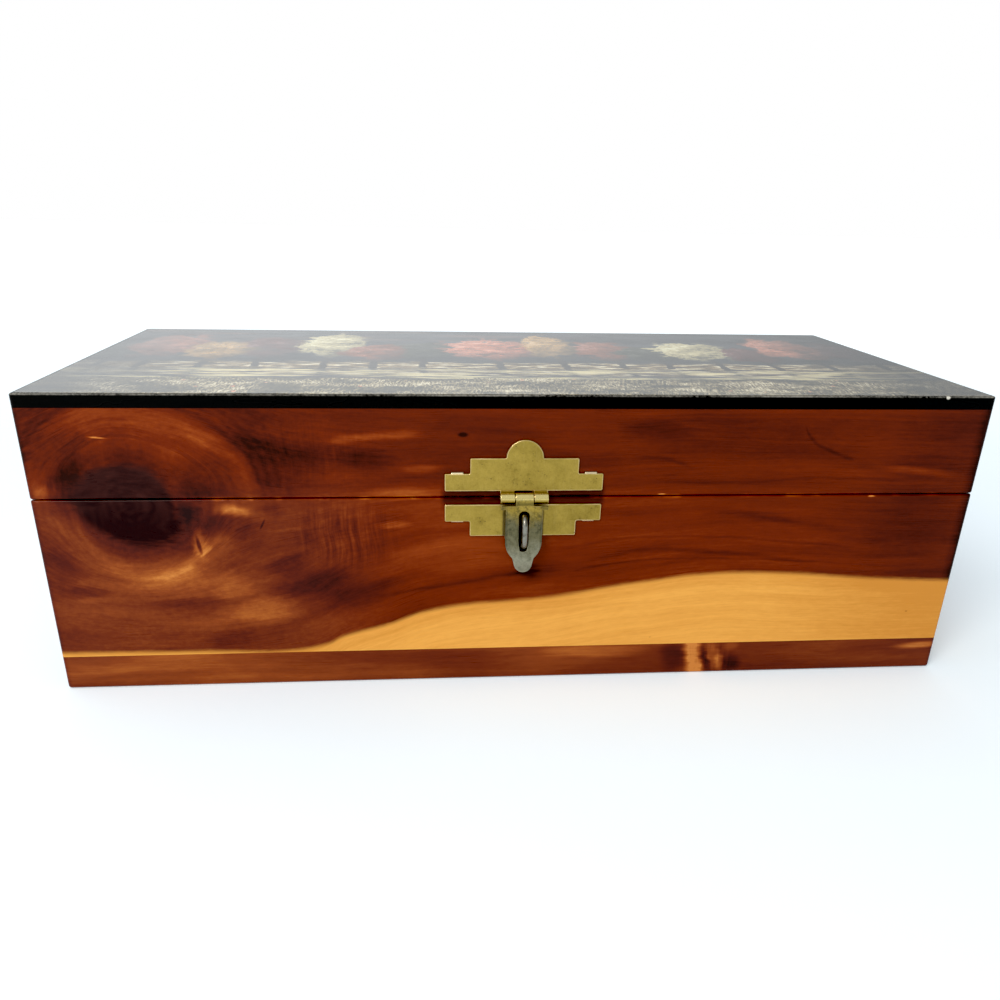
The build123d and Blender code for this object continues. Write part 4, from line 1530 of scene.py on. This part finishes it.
def stand(sheet: Shell, foot: tuple[float, float, float], deep: int = 1, up: int = 1) -> Shell:
    """Put a flat sheet in its place.

    Args:
        sheet: the sheet, in across, depth and up.
        foot: the place of its own origin.
        deep: 1 where depth runs along +Y, -1 where it runs back.
        up: 1 where up runs along +Z, -1 where it runs down.

    Returns:
        The same sheet.
    """
    sheet.points = sheet.points * np.array([1, deep, up]) + np.array(foot)
    return sheet


def show(name: str, data: bpy.types.ID) -> bpy.types.Object:
    """Add an object with this data to the scene.

    Args:
        name: the object's name.
        data: its mesh, camera or light.

    Returns:
        The object.
    """
    thing = bpy.data.objects.new(name, data)
    bpy.context.scene.collection.objects.link(thing)
    return thing


def make_piece(name: str, shells: list[Shell], material: bpy.types.Material) -> bpy.types.Object:
    """Write shells into one mesh object at the origin, in metres, smooth and facing outwards.

    Args:
        name: the piece's name.
        shells: its closed surfaces.
        material: its finish.

    Returns:
        The object.
    """
    starts = np.cumsum([0] + [len(shell.points) for shell in shells])
    points = np.concatenate([shell.points for shell in shells]) * MM
    faces = [face for shell, start in zip(shells, starts) for block in shell.faces
             for face in (block + start).tolist()]
    mesh = bpy.data.meshes.new(name)
    mesh.from_pydata(points.tolist(), [], faces)
    rim = mesh.attributes.new("rim", "FLOAT", "POINT")
    rim.data.foreach_set("value", np.concatenate([shell.rim for shell in shells]).astype(np.float32))
    work = bmesh.new()
    work.from_mesh(mesh)
    bmesh.ops.recalc_face_normals(work, faces=work.faces[:])
    work.to_mesh(mesh)
    work.free()
    mesh.shade_smooth()
    mesh.materials.append(material)
    return show(name, mesh)


def dress(node: str, material: bpy.types.Material) -> str:
    """Put a finish in every material slot of a CAD node.

    Args:
        node: the node's name.
        material: its finish.

    Returns:
        The node's name.
    """
    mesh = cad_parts[node].data
    for index in range(max(1, len(mesh.materials))):
        if index < len(mesh.materials):
            mesh.materials[index] = material
        else:
            mesh.materials.append(material)
    return node


def hand_over(piece: bpy.types.Object, body: str, slot: str, *nodes: str) -> str:
    """Let a piece ride on its body and hide the CAD nodes that it stands for.

    Args:
        piece: the piece.
        body: the body that it moves with.
        slot: not used.
        nodes: the CAD nodes that it replaces.

    Returns:
        The piece's name.
    """
    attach(piece, body)
    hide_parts(*nodes)
    return piece.name


# Sub-assemblies


@dataclass
class Boards:
    """The eight walls and the bottom board, kept as the CAD solids and dressed in cedar."""

    figures: dict[str, CedarFigure] = field(default_factory=lambda: {
        "front": FRONT_FIGURE, "back": BACK_FIGURE, "left": LEFT_FIGURE, "right": RIGHT_FIGURE})
    levels: tuple[str, ...] = ("base", "lid")

    def build(self) -> list[str]:
        """Dress each wall with its side's figure, which runs on from the base to the lid.

        Returns:
            The names of the boards.
        """
        named = []
        for place, figure in self.figures.items():
            material = CedarFinish(figure).build()
            named += [dress(f"{level}_{place}_wall", material) for level in self.levels]
        named.append(dress("bottom_board", CedarFinish(BOTTOM_FIGURE).build()))
        named.append(dress("bottom_brads", WireFinish("brad_steel_dull", rough=0.4).build()))
        return named


@dataclass
class LidTop:
    """The black panel that closes the lid, and the print on it."""

    panel: BlackPanelFinish = BlackPanelFinish()
    picture: PictureFinish = PictureFinish()

    def build(self) -> list[str]:
        """Dress the panel and the picture."""
        return [dress("top_panel", self.panel.build()), dress("picture_sheet", self.picture.build())]


@dataclass
class Hasp:
    """Two stamped plates, the pin, the slotted strap and the wire staple."""

    front: float = -HALF_DEPTH
    seam: float = SEAM
    axis_y: float = -52.3
    axis_z: float = 50.45
    half_width: float = 19.05
    half_step: float = 13.0
    step_height: float = 4.3
    plate_height: float = 8.1
    crest_radius: float = 4.45
    setback: float = 1.7
    sheet: float = 0.6
    edge: float = 0.18
    corner: float = 0.36
    crest_corner: float = 0.25
    crest_start: float = 0.12
    hub: Point = (0.0, 4.0)
    fit: float = 0.02
    prong_x: float = 16.025
    prong_width: float = 3.0
    prong_top: float = 4.65
    prong_bend: float = 0.62
    prong_depth: float = 4.6
    prong_foot: Point = (1.1, 0.75)
    prong_rim: float = 2.0
    knuckle_radius: float = 1.3
    knuckle_edge: float = 0.1
    knuckle_sweep: Point = (-14.0, -298.0)
    tab_sweep: Point = (180.0, -112.0)
    roll_front: float = -51.5
    half_span: float = 5.75
    half_centre: float = 2.15
    gap: float = 0.2
    pin_radius: float = 0.6
    strap_sheet: float = 0.65
    strap_edge: float = 0.17
    shoulder_top: float = 1.6
    shoulder_low: float = 2.6
    shoulder_corner: float = 0.3
    blade_corner: float = 0.35
    half_blade: float = 4.5
    blade_end: float = 10.85
    half_neck: float = 2.65
    neck_drop: float = 15.15
    tip_radius: float = 2.3
    tip_start: float = 0.1
    tip_drop: float = 18.55
    flare_drop: float = 14.15
    flare_radius: float = 10.0
    slot_top: float = 3.0
    slot_low: float = 13.4
    half_slot: float = 1.25
    staple_reach: float = 5.6
    staple_legs: tuple[float, float] = (46.23, 38.77)
    wire_radius: float = 0.72
    bend_radius: float = 2.2
    leg_depth: float = 6.0
    leg_start: float = 0.3

    def plate_outline(self) -> Array:
        """Stepped outline with a half-round crest, anticlockwise from the near right corner.

        Returns:
            Points across and up from the plate's edge that lies next to the seam.
        """
        w, s, h = self.half_width, self.half_step, self.step_height
        t, r = self.plate_height, self.crest_radius
        right = np.array([[-w, 0], [w, 0], [w, h], [s, h], [s, t], [r, t], [r, t + 1.0]])
        radius = np.array([self.corner] * 4 + [self.crest_corner])
        arcs = rounded_corners(right[:-2], right[1:-1], right[2:], radius)
        mirrored = arcs[::-1, ::-1] * np.array([-1.0, 1.0])
        crest = arc((0.0, t), r, np.linspace(self.crest_start, np.pi - self.crest_start, 41))
        return np.concatenate([arcs.reshape(-1, 2), crest, mirrored.reshape(-1, 2)])

    def plate_shells(self, side: Side) -> list[Shell]:
        """The flat of one plate and its two prongs, which bend back into the wood.

        Args:
            side: the lid's plate or the base's.

        Returns:
            Their shells.
        """
        near = self.seam + side.value * self.setback
        flat = plate(self.plate_outline(), self.hub, self.sheet, self.edge)
        stand(flat, (0.0, self.front - self.sheet, near), up=side.value)
        bend = self.sheet * self.prong_bend
        middle, top = self.front - self.sheet / 2, self.prong_top - self.sheet / 2
        turn = arc((middle + bend, top - bend), bend, np.linspace(np.pi, np.pi / 2, 12))
        foot = [[middle, top - drop] for drop in self.prong_foot]
        path = np.concatenate([foot, turn, [[self.front + 2.0, top], [self.front + self.prong_depth, top]]])
        path[:, 1] = near + side.value * path[:, 1]
        half = self.prong_width / 2
        prongs = [bent_sheet(path, self.sheet - self.fit, x - half, x + half, self.edge)
                  for x in (-self.prong_x, self.prong_x)]
        # a rim weight above 1 takes the finish's painted highlight over the whole prong
        for prong in prongs:
            prong.rim = np.full(len(prong.points), self.prong_rim)
        return [flat] + prongs

    def lid_knuckles(self) -> list[Shell]:
        """The two tabs of the lid's plate, rolled under the pin, forward and over it.

        Returns:
            Their shells.
        """
        roll = self.knuckle_radius - self.sheet / 2
        web = self.front - self.sheet / 2
        ring = arc((self.axis_y, self.axis_z), roll, np.radians(np.linspace(*self.knuckle_sweep, 48)))
        top = self.seam + self.setback + self.sheet
        path = np.concatenate([[[web, top], [web, top - 0.5], [web - 0.03, self.axis_z + 0.75],
                                [web - 0.12, self.axis_z + 0.3]], ring])
        inner = self.half_centre + self.gap
        return [bent_sheet(path, self.sheet - self.fit, a, b, self.knuckle_edge)
                for a, b in ((-self.half_span, -inner), (inner, self.half_span))]

    def strap_outline(self) -> Array:
        """Blade that narrows to a round tip, anticlockwise; across and drop below the pin.

        The side of the taper is the arc that leaves the blade straight down and ends at the neck.

        Returns:
            Points of the outline, up being minus the drop.
        """
        b, n = self.half_blade, self.half_neck
        fall, move = self.neck_drop - self.blade_end, b - n
        radius = (fall * fall + move * move) / (2 * move)
        sweep = np.linspace(0, math.asin(fall / radius), 14)
        taper = np.stack([b - radius * (1 - np.cos(sweep)), -self.blade_end - radius * np.sin(sweep)], -1)
        tip_z = -self.tip_drop + self.tip_radius
        tip = arc((0.0, tip_z), self.tip_radius, np.linspace(-self.tip_start, -np.pi + self.tip_start, 33))
        corners = np.array([[-b, -self.shoulder_top], [b, -self.shoulder_top], [b, -self.blade_end]])
        arcs = rounded_corners(corners[:1], corners[1:2], corners[2:], np.array([self.blade_corner]))
        side = np.stack([np.full(12, b), np.linspace(-self.shoulder_low, -self.blade_end + 0.4, 12)], -1)
        down = np.concatenate([arcs.reshape(-1, 2), side, taper])
        up = down[::-1] * np.array([-1.0, 1.0])
        bar = np.stack([np.linspace(-b + 0.9, b - 0.9, 15), np.full(15, -self.shoulder_top)], -1)
        return np.concatenate([down, tip, up, bar])[::-1]

    def strap_slot(self, outline: Array) -> Array:
        """Slot points that face the outline's points.

        Each outline point is drawn to the slot's middle line, kept within its straight part, and the slot's
        edge is half its width from there towards that point.

        Args:
            outline: points of the blade's outline.

        Returns:
            As many points on the slot's edge.
        """
        low, high = -self.slot_low + self.half_slot, -self.slot_top - self.half_slot
        span = (outline[:, 1] + self.tip_drop) / (self.tip_drop - self.shoulder_top)
        anchor = np.stack([np.zeros(len(outline)), low + (high - low) * np.clip(span * 1.5 - 0.30, 0, 1)], -1)
        aim = outline - anchor
        return anchor + aim / np.linalg.norm(aim, axis=1, keepdims=True) * self.half_slot

    def strap(self) -> list[Shell]:
        """The strap: slotted blade with its tip flared off the box, and the tab rolled over the pin.

        Below flare_drop the sheet leaves its plane along a circle of flare_radius.

        Returns:
            Its shells.
        """
        outline = self.strap_outline()
        blade = slotted_plate(outline, self.strap_slot(outline), self.strap_sheet, self.strap_edge)
        face = self.axis_y - self.knuckle_radius
        x, depth, up = blade.points.T
        past = np.maximum(-up - self.flare_drop, 0) / self.flare_radius
        reach = self.flare_radius + depth
        y = face - self.flare_radius + reach * np.cos(past)
        z = self.axis_z + np.where(past > 0, -self.flare_drop - reach * np.sin(past), up)
        blade.points = np.stack([x, y, z], -1)
        roll = self.knuckle_radius - self.strap_sheet / 2
        ring = arc((self.axis_y, self.axis_z), roll, np.radians(np.linspace(*self.tab_sweep, 50)))
        plane = self.axis_y - roll
        path = np.concatenate([[[plane, self.axis_z - self.shoulder_top - 0.35],
                                [plane, self.axis_z - 0.8]], ring])
        tab = bent_sheet(path, self.strap_sheet - self.fit, -self.half_centre, self.half_centre,
                         self.knuckle_edge)
        return [blade, tab, self.shoulders()]

    def shoulders(self) -> Shell:
        """The bar across the strap's head: a rounded rectangle, a hair thinner than the blade.

        Returns:
            Its shell.
        """
        high, low = -self.shoulder_top - self.fit, -self.shoulder_low
        outline = rounded_box(self.half_span, low, high, (self.shoulder_corner,) * 4)
        bar = plate(outline, (0.0, (high + low) / 2), self.strap_sheet - self.fit, self.edge)
        return stand(bar, (0.0, self.axis_y - self.knuckle_radius + self.fit / 2, self.axis_z))

    def pin(self) -> list[Shell]:
        """The pin through the three knuckles."""
        return [rod(-self.half_span, self.half_span, self.pin_radius, self.axis_y, self.axis_z)]

    def staple(self) -> list[Shell]:
        """The staple: round wire carried along two legs, two quarter bends and a straight front.

        Returns:
            Its shell.
        """
        high, low = self.staple_legs
        outside = self.front - self.staple_reach + self.wire_radius
        inside = self.front + self.leg_depth
        bend = self.bend_radius
        start = self.front - self.leg_start
        quarter = np.linspace(0, np.pi / 2, 14)
        y = np.concatenate([[inside, start], outside + bend - bend * np.sin(quarter),
                            outside + bend - bend * np.cos(quarter), [start, inside]])
        z = np.concatenate([[high, high], high - bend + bend * np.cos(quarter),
                            low + bend - bend * np.sin(quarter), [low, low]])
        lean = np.concatenate([[0.0, 0.0], quarter, np.pi / 2 + quarter, [np.pi, np.pi]])
        angle = np.linspace(0, 2 * np.pi, 24, endpoint=False)
        across = self.wire_radius * np.cos(angle)[None]
        out = self.wire_radius * np.sin(angle)[None]
        rings = np.stack([np.broadcast_to(across, (len(y), len(angle))),
                          y[:, None] - out * np.sin(lean)[:, None],
                          z[:, None] + out * np.cos(lean)[:, None]], -1)
        return [tube(rings, np.zeros(len(y)))]

    def build(self) -> list[str]:
        """Make and dress the five pieces.

        Returns:
            Their names.
        """
        brass = BrassFinish("hasp_brass_aged", roll_y=self.roll_front, grime=True).build()
        worn = BrassFinish(
            "strap_brass_worn", steel=(0.158, 0.140, 0.078), pale=(0.400, 0.385, 0.295),
            stain=(0.036, 0.036, 0.022), worn_from=47.5, worn_to=43.5, rough=0.34, stained=0.50,
            mottled=0.62, rim_gain=0.12, roll_y=self.roll_front, dark_side=3.7).build()
        wire = WireFinish("staple_wire_plated").build()
        upper = make_piece("hasp_lid_plate", self.plate_shells(Side.LID) + self.lid_knuckles(), brass)
        keeper = make_piece("hasp_base_plate", self.plate_shells(Side.BASE), brass)
        pin = make_piece("hasp_rod", self.pin(), brass)
        strap = make_piece("hasp_blade", self.strap(), worn)
        staple = make_piece("hasp_loop", self.staple(), wire)
        return [
            hand_over(upper, "lid", "hasp_brass", "hasp_upper_plate"),
            hand_over(keeper, "base", "hasp_brass", "hasp_keeper_plate"),
            hand_over(pin, "lid", "hasp_brass", "hasp_pin"),
            hand_over(strap, "hasp_strap", "strap_metal", "hasp_strap"),
            hand_over(staple, "base", "staple_wire", "hasp_staple"),
        ]


@dataclass
class BackHinges:
    """Two butt hinges on the back: rolled leaves, pins and domed nails."""

    back: float = HALF_DEPTH
    seam: float = SEAM
    axis_y: float = 52.55
    middles: dict[str, float] = field(default_factory=lambda: {"left": -72.3, "right": 72.3})
    leaf_width: float = 25.4
    leaf_height: float = 9.0
    sheet: float = 0.75
    setback: float = 2.1
    corner: float = 1.5
    root_corner: float = 0.4
    edge: float = 0.16
    fit: float = 0.02
    knuckle_radius: float = 1.5
    knuckle_edge: float = 0.12
    knuckle_sweep: Point = (188.0, 470.0)
    half_centre: float = 4.5
    gap: float = 0.2
    pin_radius: float = 0.7
    nail_x: float = 8.5
    nail_drop: float = 6.6
    head_radius: float = 1.5
    head_height: float = 0.45
    head_middle: float = 0.05
    shank_radius: float = 0.55
    shank_depth: float = 1.6

    def leaf(self, x: float, side: Side) -> list[Shell]:
        """One leaf: a rounded plate and the knuckles that are rolled from its edge.

        Args:
            x: the hinge's middle.
            side: the lid's leaf, with the middle knuckle, or the base's, with the two outer ones.

        Returns:
            Its shells.
        """
        half, sign = self.leaf_width / 2, side.value
        radius = (self.root_corner, self.root_corner, self.corner, self.corner)
        outline = rounded_box(half, 0.0, self.leaf_height, radius, 9)
        flat = plate(outline, (0.0, self.leaf_height / 2), self.sheet, self.edge)
        stand(flat, (x, self.back + self.sheet, self.seam + sign * self.setback), -1, sign)
        roll = self.knuckle_radius - self.sheet / 2
        web = self.back + self.sheet / 2
        angle = np.radians(np.linspace(*self.knuckle_sweep, 48))
        ring = arc((self.axis_y, 0.0), roll, angle) * np.array([1, sign])
        path = np.concatenate([[[web, sign * (self.setback + 0.7)], [web, sign * (self.setback + 0.1)],
                                [web + 0.05, sign * 1.0], [web + 0.16, sign * 0.5]], ring])
        path[:, 1] = path[:, 1] + self.seam
        inner = self.half_centre + self.gap
        spans = {Side.LID: [(-self.half_centre, self.half_centre)],
                 Side.BASE: [(-half, -inner), (inner, half)]}[side]
        return [flat] + [bent_sheet(path, self.sheet - self.fit, x + a, x + b, self.knuckle_edge)
                         for a, b in spans]

    def pin(self, x: float) -> list[Shell]:
        """The pin of the hinge whose middle is at x."""
        half = self.leaf_width / 2
        return [rod(x - half, x + half, self.pin_radius, self.axis_y, self.seam)]

    def nails(self, side: Side) -> list[Shell]:
        """Domed nail heads: a spherical cap turned about each nail, with a short shank below it.

        Args:
            side: the lid's nails or the base's.

        Returns:
            A shell for each nail.
        """
        ball = (self.head_radius ** 2 + self.head_height ** 2) / (2 * self.head_height)
        cap = np.linspace(self.head_radius, self.head_middle, 9)
        radius = np.concatenate([[self.shank_radius, self.shank_radius, self.head_radius - 0.1], cap])
        rise = np.maximum(np.sqrt(ball ** 2 - cap ** 2) - (ball - self.head_height), 0.0)
        height = self.sheet + np.concatenate([[-self.shank_depth, -self.fit, -self.fit], rise])
        rings = turned(radius, height, 32)
        z = self.seam + side.value * self.nail_drop
        places = [middle + offset for middle in self.middles.values()
                  for offset in (-self.nail_x, self.nail_x)]
        return [tube(np.stack([x + rings[..., 0], self.back + rings[..., 2], z + rings[..., 1]], -1),
                     np.zeros(len(radius))) for x in places]

    def build(self) -> list[str]:
        """Make and dress the leaves, pins and nails.

        Returns:
            Their names.
        """
        brass = BrassFinish("hinge_brass_aged", rough=0.33).build()
        heads = WireFinish("nail_brass_plated", colour=(0.60, 0.44, 0.14), dull=(0.22, 0.14, 0.04)).build()
        named = []
        for hand, x in self.middles.items():
            for side in Side:
                piece = make_piece(f"hinge_{side.body}_rolled_{hand}", self.leaf(x, side), brass)
                named.append(hand_over(piece, side.body, "hinge_brass", f"hinge_{side.body}_leaf_{hand}"))
            pin = make_piece(f"hinge_rod_{hand}", self.pin(x), brass)
            named.append(hand_over(pin, "base", "hinge_brass", f"hinge_pin_{hand}"))
        for side in Side:
            piece = make_piece(f"hinge_{side.body}_nail_heads", self.nails(side), heads)
            named.append(hand_over(piece, side.body, "nail_brass", f"hinge_{side.body}_nails"))
        return named


@dataclass
class Studio:
    """Camera at the photo's place, a pale floor and soft light from the upper left."""

    lens: float = 29.916
    sensor: float = 36.0
    place: tuple[float, float, float] = (-0.0239632, -0.2396710, 0.1151986)
    turn: tuple[float, float, float] = (1.17196191, -0.0211560693, -0.0835194598)
    shift: Point = (0.00431, 0.05439)
    clip_start: float = 0.01
    floor_half: float = 4.0
    floor_drop: float = 0.0001
    floor_colour: Colour = (0.86, 0.945, 1.0)
    floor_shade: Colour = (0.83, 0.91, 0.97)
    floor_tint: Colour = (0.94, 0.985, 1.0)
    floor_glow: float = 0.17
    far_glow: float = 0.60
    far_from: float = 150.0
    far_to: float = 900.0
    key_place: tuple[float, float, float] = (-0.36, -0.50, 0.55)
    key_size: float = 0.30
    key_power: float = 3.0
    key_colour: Colour = (1.0, 0.97, 0.92)
    key_aim: float = 0.04
    soft_colour: Colour = (0.94, 0.978, 1.0)
    soft_left: Point = (-0.2, 0.94)
    soft_right: Point = (0.7, 0.42)
    white: Colour = (1.0, 1.0, 1.0)
    black_level: float = 0.015

    def camera(self) -> None:
        """Set up the camera."""
        data = bpy.data.cameras.new("camera")
        data.lens, data.sensor_width = self.lens, self.sensor
        data.shift_x, data.shift_y = self.shift
        data.clip_start = self.clip_start
        holder = show("camera", data)
        holder.location, holder.rotation_euler = self.place, self.turn
        bpy.context.scene.camera = holder

    def floor(self) -> None:
        """Lay a pale floor just under the box. It glows more far off, and is clear when seen from below."""
        h, low = self.floor_half, -self.floor_drop
        corners = np.array([[-h, -h, low], [h, -h, low], [h, h, low], [-h, h, low]])
        mesh = bpy.data.meshes.new("floor")
        mesh.from_pydata(corners.tolist(), [], [[0, 1, 2, 3]])
        g = Graph.material("pale_floor")
        x, y, z = g.millimetres()
        mottle = g.noise(g.join(x / 60.0, y / 60.0, z), 3.0)
        shade = g.mix(mottle, self.floor_colour, self.floor_shade)
        far = g.step(self.far_from, self.far_to, (x * x + y * y).sqrt())
        near_glow, far_glow = (tuple(c * part for c in self.floor_tint)
                               for part in (self.floor_glow, self.far_glow))
        back = g.add("ShaderNodeNewGeometry", out="Backfacing")
        mesh.materials.append(g.finish({
            "Base Color": shade,
            "Roughness": 0.6,
            "Specular IOR Level": 0.2,
            "Emission Color": g.mix(far, near_glow, far_glow),
            "Emission Strength": 1.0,
            "Alpha": 1.0 - back,
        }))
        piece = show("floor", mesh)

    def light(self) -> None:
        """Soft surroundings, dimmer on the right and white to the camera, and a key light at the left."""
        world = bpy.data.worlds.new("soft_box")
        bpy.context.scene.world = world
        g = Graph(world)
        place = g.add("ShaderNodeTexCoord", out="Generated")
        power = g.add("ShaderNodeMapRange", {"interpolation_type": "SMOOTHSTEP"}, {
            "Value": g.add("ShaderNodeSeparateXYZ", {}, {0: place}, out="X"),
            "From Min": self.soft_left[0], "From Max": self.soft_right[0],
            "To Min": self.soft_left[1], "To Max": self.soft_right[1]})
        soft = g.add("ShaderNodeBackground", {}, {"Color": (*self.soft_colour, 1.0), "Strength": power})
        seen = g.add("ShaderNodeBackground", {}, {"Color": (*self.white, 1.0)})
        direct = g.add("ShaderNodeLightPath", out="Is Camera Ray")
        both = g.add("ShaderNodeMixShader", {}, {0: direct, 1: soft, 2: seen})
        g.add("ShaderNodeOutputWorld", {}, {"Surface": both})
        lamp = bpy.data.lights.new("key", "AREA")
        lamp.shape, lamp.size, lamp.energy = "DISK", self.key_size, self.key_power
        lamp.color = self.key_colour
        holder = show("key", lamp)
        holder.location = self.key_place
        away = holder.location.copy()
        away.z -= self.key_aim
        holder.rotation_euler = away.to_track_quat("Z", "Y").to_euler()

    def build(self) -> list[str]:
        """Set up camera, floor and light with plain display colours.

        Returns:
            The names of what was set up.
        """
        self.camera()
        self.floor()
        self.light()
        view = bpy.context.scene.view_settings
        view.view_transform = "Standard"
        view.use_curve_mapping = True
        view.curve_mapping.black_level = (self.black_level,) * 3
        view.curve_mapping.update()
        return ["camera", "floor", "key"]


def main() -> None:
    """Build the sub-assemblies in order and report each piece."""
    logging.basicConfig(level=logging.INFO, format="%(name)s: %(message)s")
    for part in (Boards(), LidTop(), Hasp(), BackHinges(), Studio()):
        for name in part.build():
            LOG.info("%s: %s", type(part).__name__, name)


if __name__ == "__main__":
    main()
